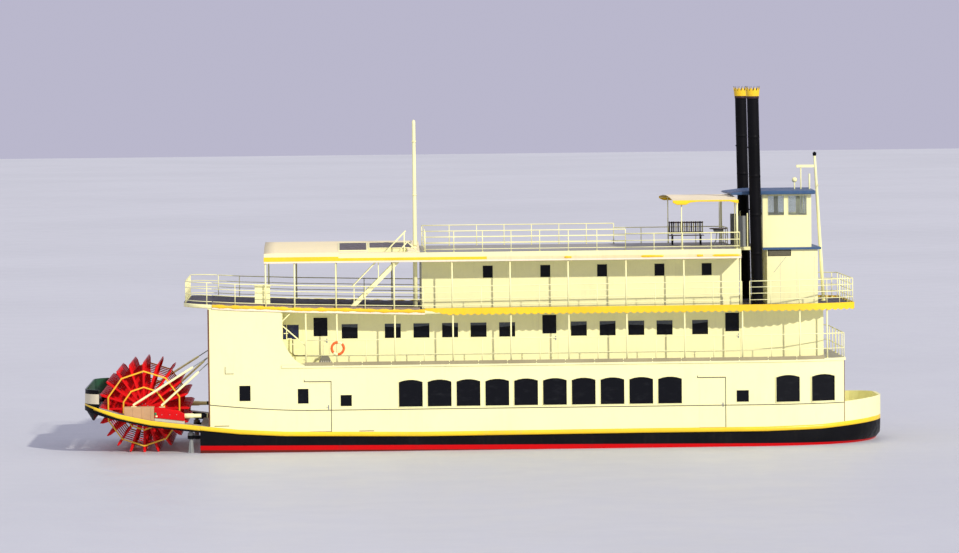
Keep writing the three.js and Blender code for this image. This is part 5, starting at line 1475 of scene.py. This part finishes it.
def wheel_ends():
    """The outer frames with their yellow rings, hub bolts and gusset plates."""
    form = Form()
    y = -SIDE_FRAME_Y
    for a in ARM_TURNS:
        turned(form, a, (-0.0475, 0.0475), (y, y + 0.06), (0.2, FLOAT_RADIUS - 0.06))
        turned(form, a, (-0.065, 0.065), (y + 0.062, y + 0.072), (1.64, 1.95))
    hub(form, y + 0.03, 0.045, (0.2, 0.26))
    for k in range(10):
        turned(form, 2 * math.pi * (k + 0.5) / 10, (-0.018, 0.018), (y - 0.03, y), (0.2, 0.236), 2)
    for radius in RINGS:
        wheel_ring(form, radius, y - 0.04, y, 0.07, 1)
    form.mirror()
    form.piece("wheel_ends", [RED_PAINT, RING_YELLOW, GREY_PAINT], "wheel_red", "paddle_wheel",
               sided("wheel_side"), 0.005, 1)


def wheel_ring(form, radius, y0, y1, width, paint):
    """Straight bars from corner to corner, as the real ring is made."""
    step = 2 * math.pi / RING_SIDES
    rings = []
    for r in (radius + width / 2, radius - width / 2):
        turns = [step * k for k in range(RING_SIDES)]
        rings.append([(WHEEL_X + r * math.sin(a), WHEEL_Z + r * math.cos(a)) for a in turns])
    sections = []
    for k in range(RING_SIDES + 1):
        (ox, oz), (ix, iz) = rings[0][k % RING_SIDES], rings[1][k % RING_SIDES]
        sections.append([(ox, y0, oz), (ox, y1, oz), (ix, y1, iz), (ix, y0, iz)])
    form.loft(sections, paint, caps=False)


def case(form, xs, tops, y, paint, lift=0.0):
    """A case along a stern beam with chamfered top edges; lift is how far its foot stands over the beam."""
    y0, y1 = y
    sections = []
    for x, top in zip(xs, tops):
        foot = sheer(x) + 0.001 + lift
        shape = [(y0, foot), (y0, top - 0.05), (y0 + 0.04, top)]
        shape += [(y1 - 0.04, top), (y1, top - 0.05), (y1, foot)]
        sections.append([(x, v, z) for v, z in shape])
    form.loft(sections, paint)


def wheel_drives():
    """The tan box, the red case on its pad, and the motor, with their bolts, valve and tag."""
    form = Form()
    pad, motor_y, motor_z = 0.14, -4.03, 1.67
    box_y, case_y, pad_y = (-4.38, -3.66), (-4.3, -3.76), (-4.27, -3.79)
    case(form, (-16.3, -15.7, -15.1, -14.95), (2.1,) * 4, box_y, 0)
    for x in (-16.28, -15.9, -15.5, -15.1):
        form.box((x, x + 0.05), (-4.395, -4.37), (sheer(x) + 0.021, 2.09), 0)
    aft, fore = -14.94, -13.6
    case(form, (aft, -14.7, -14.3, -13.9, fore), (2.07, 2.07, 2.0, 1.93, 1.76), case_y, 1, pad)
    case(form, (aft, fore), [sheer(x) + 0.001 + pad + 0.005 for x in (aft, fore)], pad_y, 6)
    form.tube([(x, motor_y, motor_z) for x in (fore, -13.2, -13.19, -12.85)], [0.11, 0.11, 0.09, 0.09], 24, 2)
    form.tube([(x, motor_y, motor_z) for x in (-12.85, -12.51)], 0.088, 24, 7)
    for x in (-13.55, -13.22, -12.6):
        form.tube([(x, motor_y, motor_z), (x + 0.03, motor_y, motor_z)], 0.11, 24, 2)
    for x in (-14.6, -14.25, -13.95):
        form.tube([(x, -4.31, 1.75), (x, -4.29, 1.75)], 0.02, 8, 3)
    form.box((-14.93, -14.84), (-4.335, -4.3), (1.74, 1.85), 4)
    form.box((-14.89, -14.8), (-4.33, -4.3), (1.65, 1.72), 5)
    form.mirror()
    paints = [TAN_PAINT, RED_PAINT, WHITE, GREY_PAINT, BRIGHT_GREEN, WHITE, PALE_GREY, BLACK_PAINT]
    form.piece("wheel_drives", paints, "drive_tan", replaces=sided("wheel_drive"), bevel=0.008)


def wheel_braces():
    """Struts from the cases up to the house; each ends in a thin rod."""
    form = Form()
    wall, y, pin = HOUSE_AFT_X - SEAM, -4.08, Vector((0, 0.06, 0))
    for foot_x, seat, head_z in ((-15.86, 2.1, 4.28), (-14.6, 2.07, 4.02)):
        foot, head = Vector((foot_x, y, seat + 0.1)), Vector((wall - 0.02, y, head_z))
        knee = foot + (head - foot) * 0.8
        form.tube([foot, foot + (knee - foot) * 0.98, knee], [0.052, 0.052, 0.024], 14)
        form.tube([knee, head], 0.024, 14, 1)
        form.box((foot_x - 0.12, foot_x + 0.12), (y - 0.08, y + 0.08), (seat + 0.001, seat + 0.03))
        form.tube([foot - pin, foot + pin], 0.05, 14)
    form.box((wall - 0.03, wall), (y - 0.08, y + 0.08), (3.9, 4.4))
    form.mirror()
    form.piece("wheel_braces", [WHITE, GREY_PAINT], "white_paint", replaces=sided("wheel_brace"), bevel=0.004)


def blade(y, z, boss, turn):
    """Sections from root to tip: the chord narrows to both ends, and the twist falls off."""
    sections = []
    for t in spread(0, 1, 9):
        r = 0.05 + 0.25 * t
        chord = 0.085 * math.sqrt(max(0.02, 1 - (2 * t - 0.9) ** 2 * 0.8)) if t < 1 else 0.03
        twist = math.radians(62 - 34 * t)
        ring = []
        for cos, sin in circle(1.0, 12):
            u, v = cos * chord, sin * 0.012 * (1.1 - t)
            across = u * math.sin(twist) + v * math.cos(twist)
            ring.append((boss + u * math.cos(twist) - v * math.sin(twist),
                         y + across * math.cos(turn) - r * math.sin(turn),
                         z + across * math.sin(turn) + r * math.cos(turn)))
        sections.append(ring)
    return sections


def propellers():
    fore, z = SCREW_FORE_X, SCREW_Z
    for side, out in (("starboard", -1), ("port", 1)):
        form = Form()
        y = out * LEG_Y
        profile = [(0.012, 0.04), (-0.001, 0.04), (-0.001, 0.075), (-0.1, 0.07), (-0.15, 0.045)]
        form.tube([(fore + x, y, z) for x, _ in profile], [r for _, r in profile], 20)
        for k in range(4):
            form.loft(blade(y, z, fore - 0.075, math.pi / 2 * k), smooth=True)
        form.piece(f"screw_{side}", BRONZE, "propeller_bronze", f"screw_{side}", f"propeller_{side}")


# Floor and light

# Lights: azimuth and elevation in degrees, strength, apparent size in degrees, colour
KEY_LIGHT = (33.5, 28.5, 3.2, 1.6, (1.0, 0.95, 0.86))
FILL_LIGHT = (-60, 40, 0.35, 60, (0.9, 0.93, 1.0))
SKY_COLOUR, SKY_STRENGTH = (0.79, 0.77, 0.98), 0.62
FLOOR_HALF, FLOOR_Z = 900.0, -0.001


def stage():
    far, z = FLOOR_HALF, FLOOR_Z
    mesh = bpy.data.meshes.new("floor")
    corners = [(-far, -far, z), (far, -far, z), (far, far, z), (-far, far, z)]
    mesh.from_pydata(corners, [], [(0, 1, 2, 3)])
    n = Nodes("pale_floor")
    shade = n.ramp(n.noise(0.02, 4), 0.3, 0.7)
    n.link(n.mix(shade, (0.62, 0.64, 0.66), (0.58, 0.6, 0.62)), n.shader.inputs["Base Color"])
    n.link(n.ramp(n.noise(0.4, 4), 0.3, 0.7, (0.45, 0.6)), n.shader.inputs["Roughness"])
    mesh.materials.append(n.material)
    floor = bpy.data.objects.new("floor", mesh)
    bpy.context.scene.collection.objects.link(floor)


def sun(name, azimuth, elevation, strength, size, colour):
    data = bpy.data.lights.new(name, "SUN")
    data.energy, data.angle, data.color = strength, math.radians(size), colour
    lamp = bpy.data.objects.new(name, data)
    a, e = math.radians(azimuth), math.radians(elevation)
    towards = Vector((math.sin(a) * math.cos(e), -math.cos(a) * math.cos(e), math.sin(e)))
    lamp.rotation_mode = "QUATERNION"
    lamp.rotation_quaternion = towards.to_track_quat("Z", "Y")
    bpy.context.scene.collection.objects.link(lamp)


def studio_light():
    world = bpy.data.worlds.new("studio")
    world.use_nodes = True
    background = world.node_tree.nodes["Background"]
    background.inputs["Color"].default_value = (*SKY_COLOUR, 1)
    background.inputs["Strength"].default_value = SKY_STRENGTH
    bpy.context.scene.world = world
    sun("key", *KEY_LIGHT)
    sun("fill", *FILL_LIGHT)
    bpy.context.scene.view_settings.view_transform = "Standard"


walls()
hull()
guard()
fantail()
mouldings()
edge_marks()
side_sweep()
window_trim()
door_fittings()
pilothouse_roof()
deck_3()
garland()
coaming()
deck_4_trim()
roof_skin()
roof_panels()
second_deck_rails()
third_deck_rails()
stern_rail()
bow_rail()
fourth_deck_rails()
life_ring()
deck_fittings()
canopy_frame()
canopy()
bench()
table()
funnel_tubes()
funnel_crowns()
after_mast()
fore_mast()
wheel_boards()
wheel_spiders()
wheel_ends()
wheel_drives()
wheel_braces()
propellers()
stage()
studio_light()
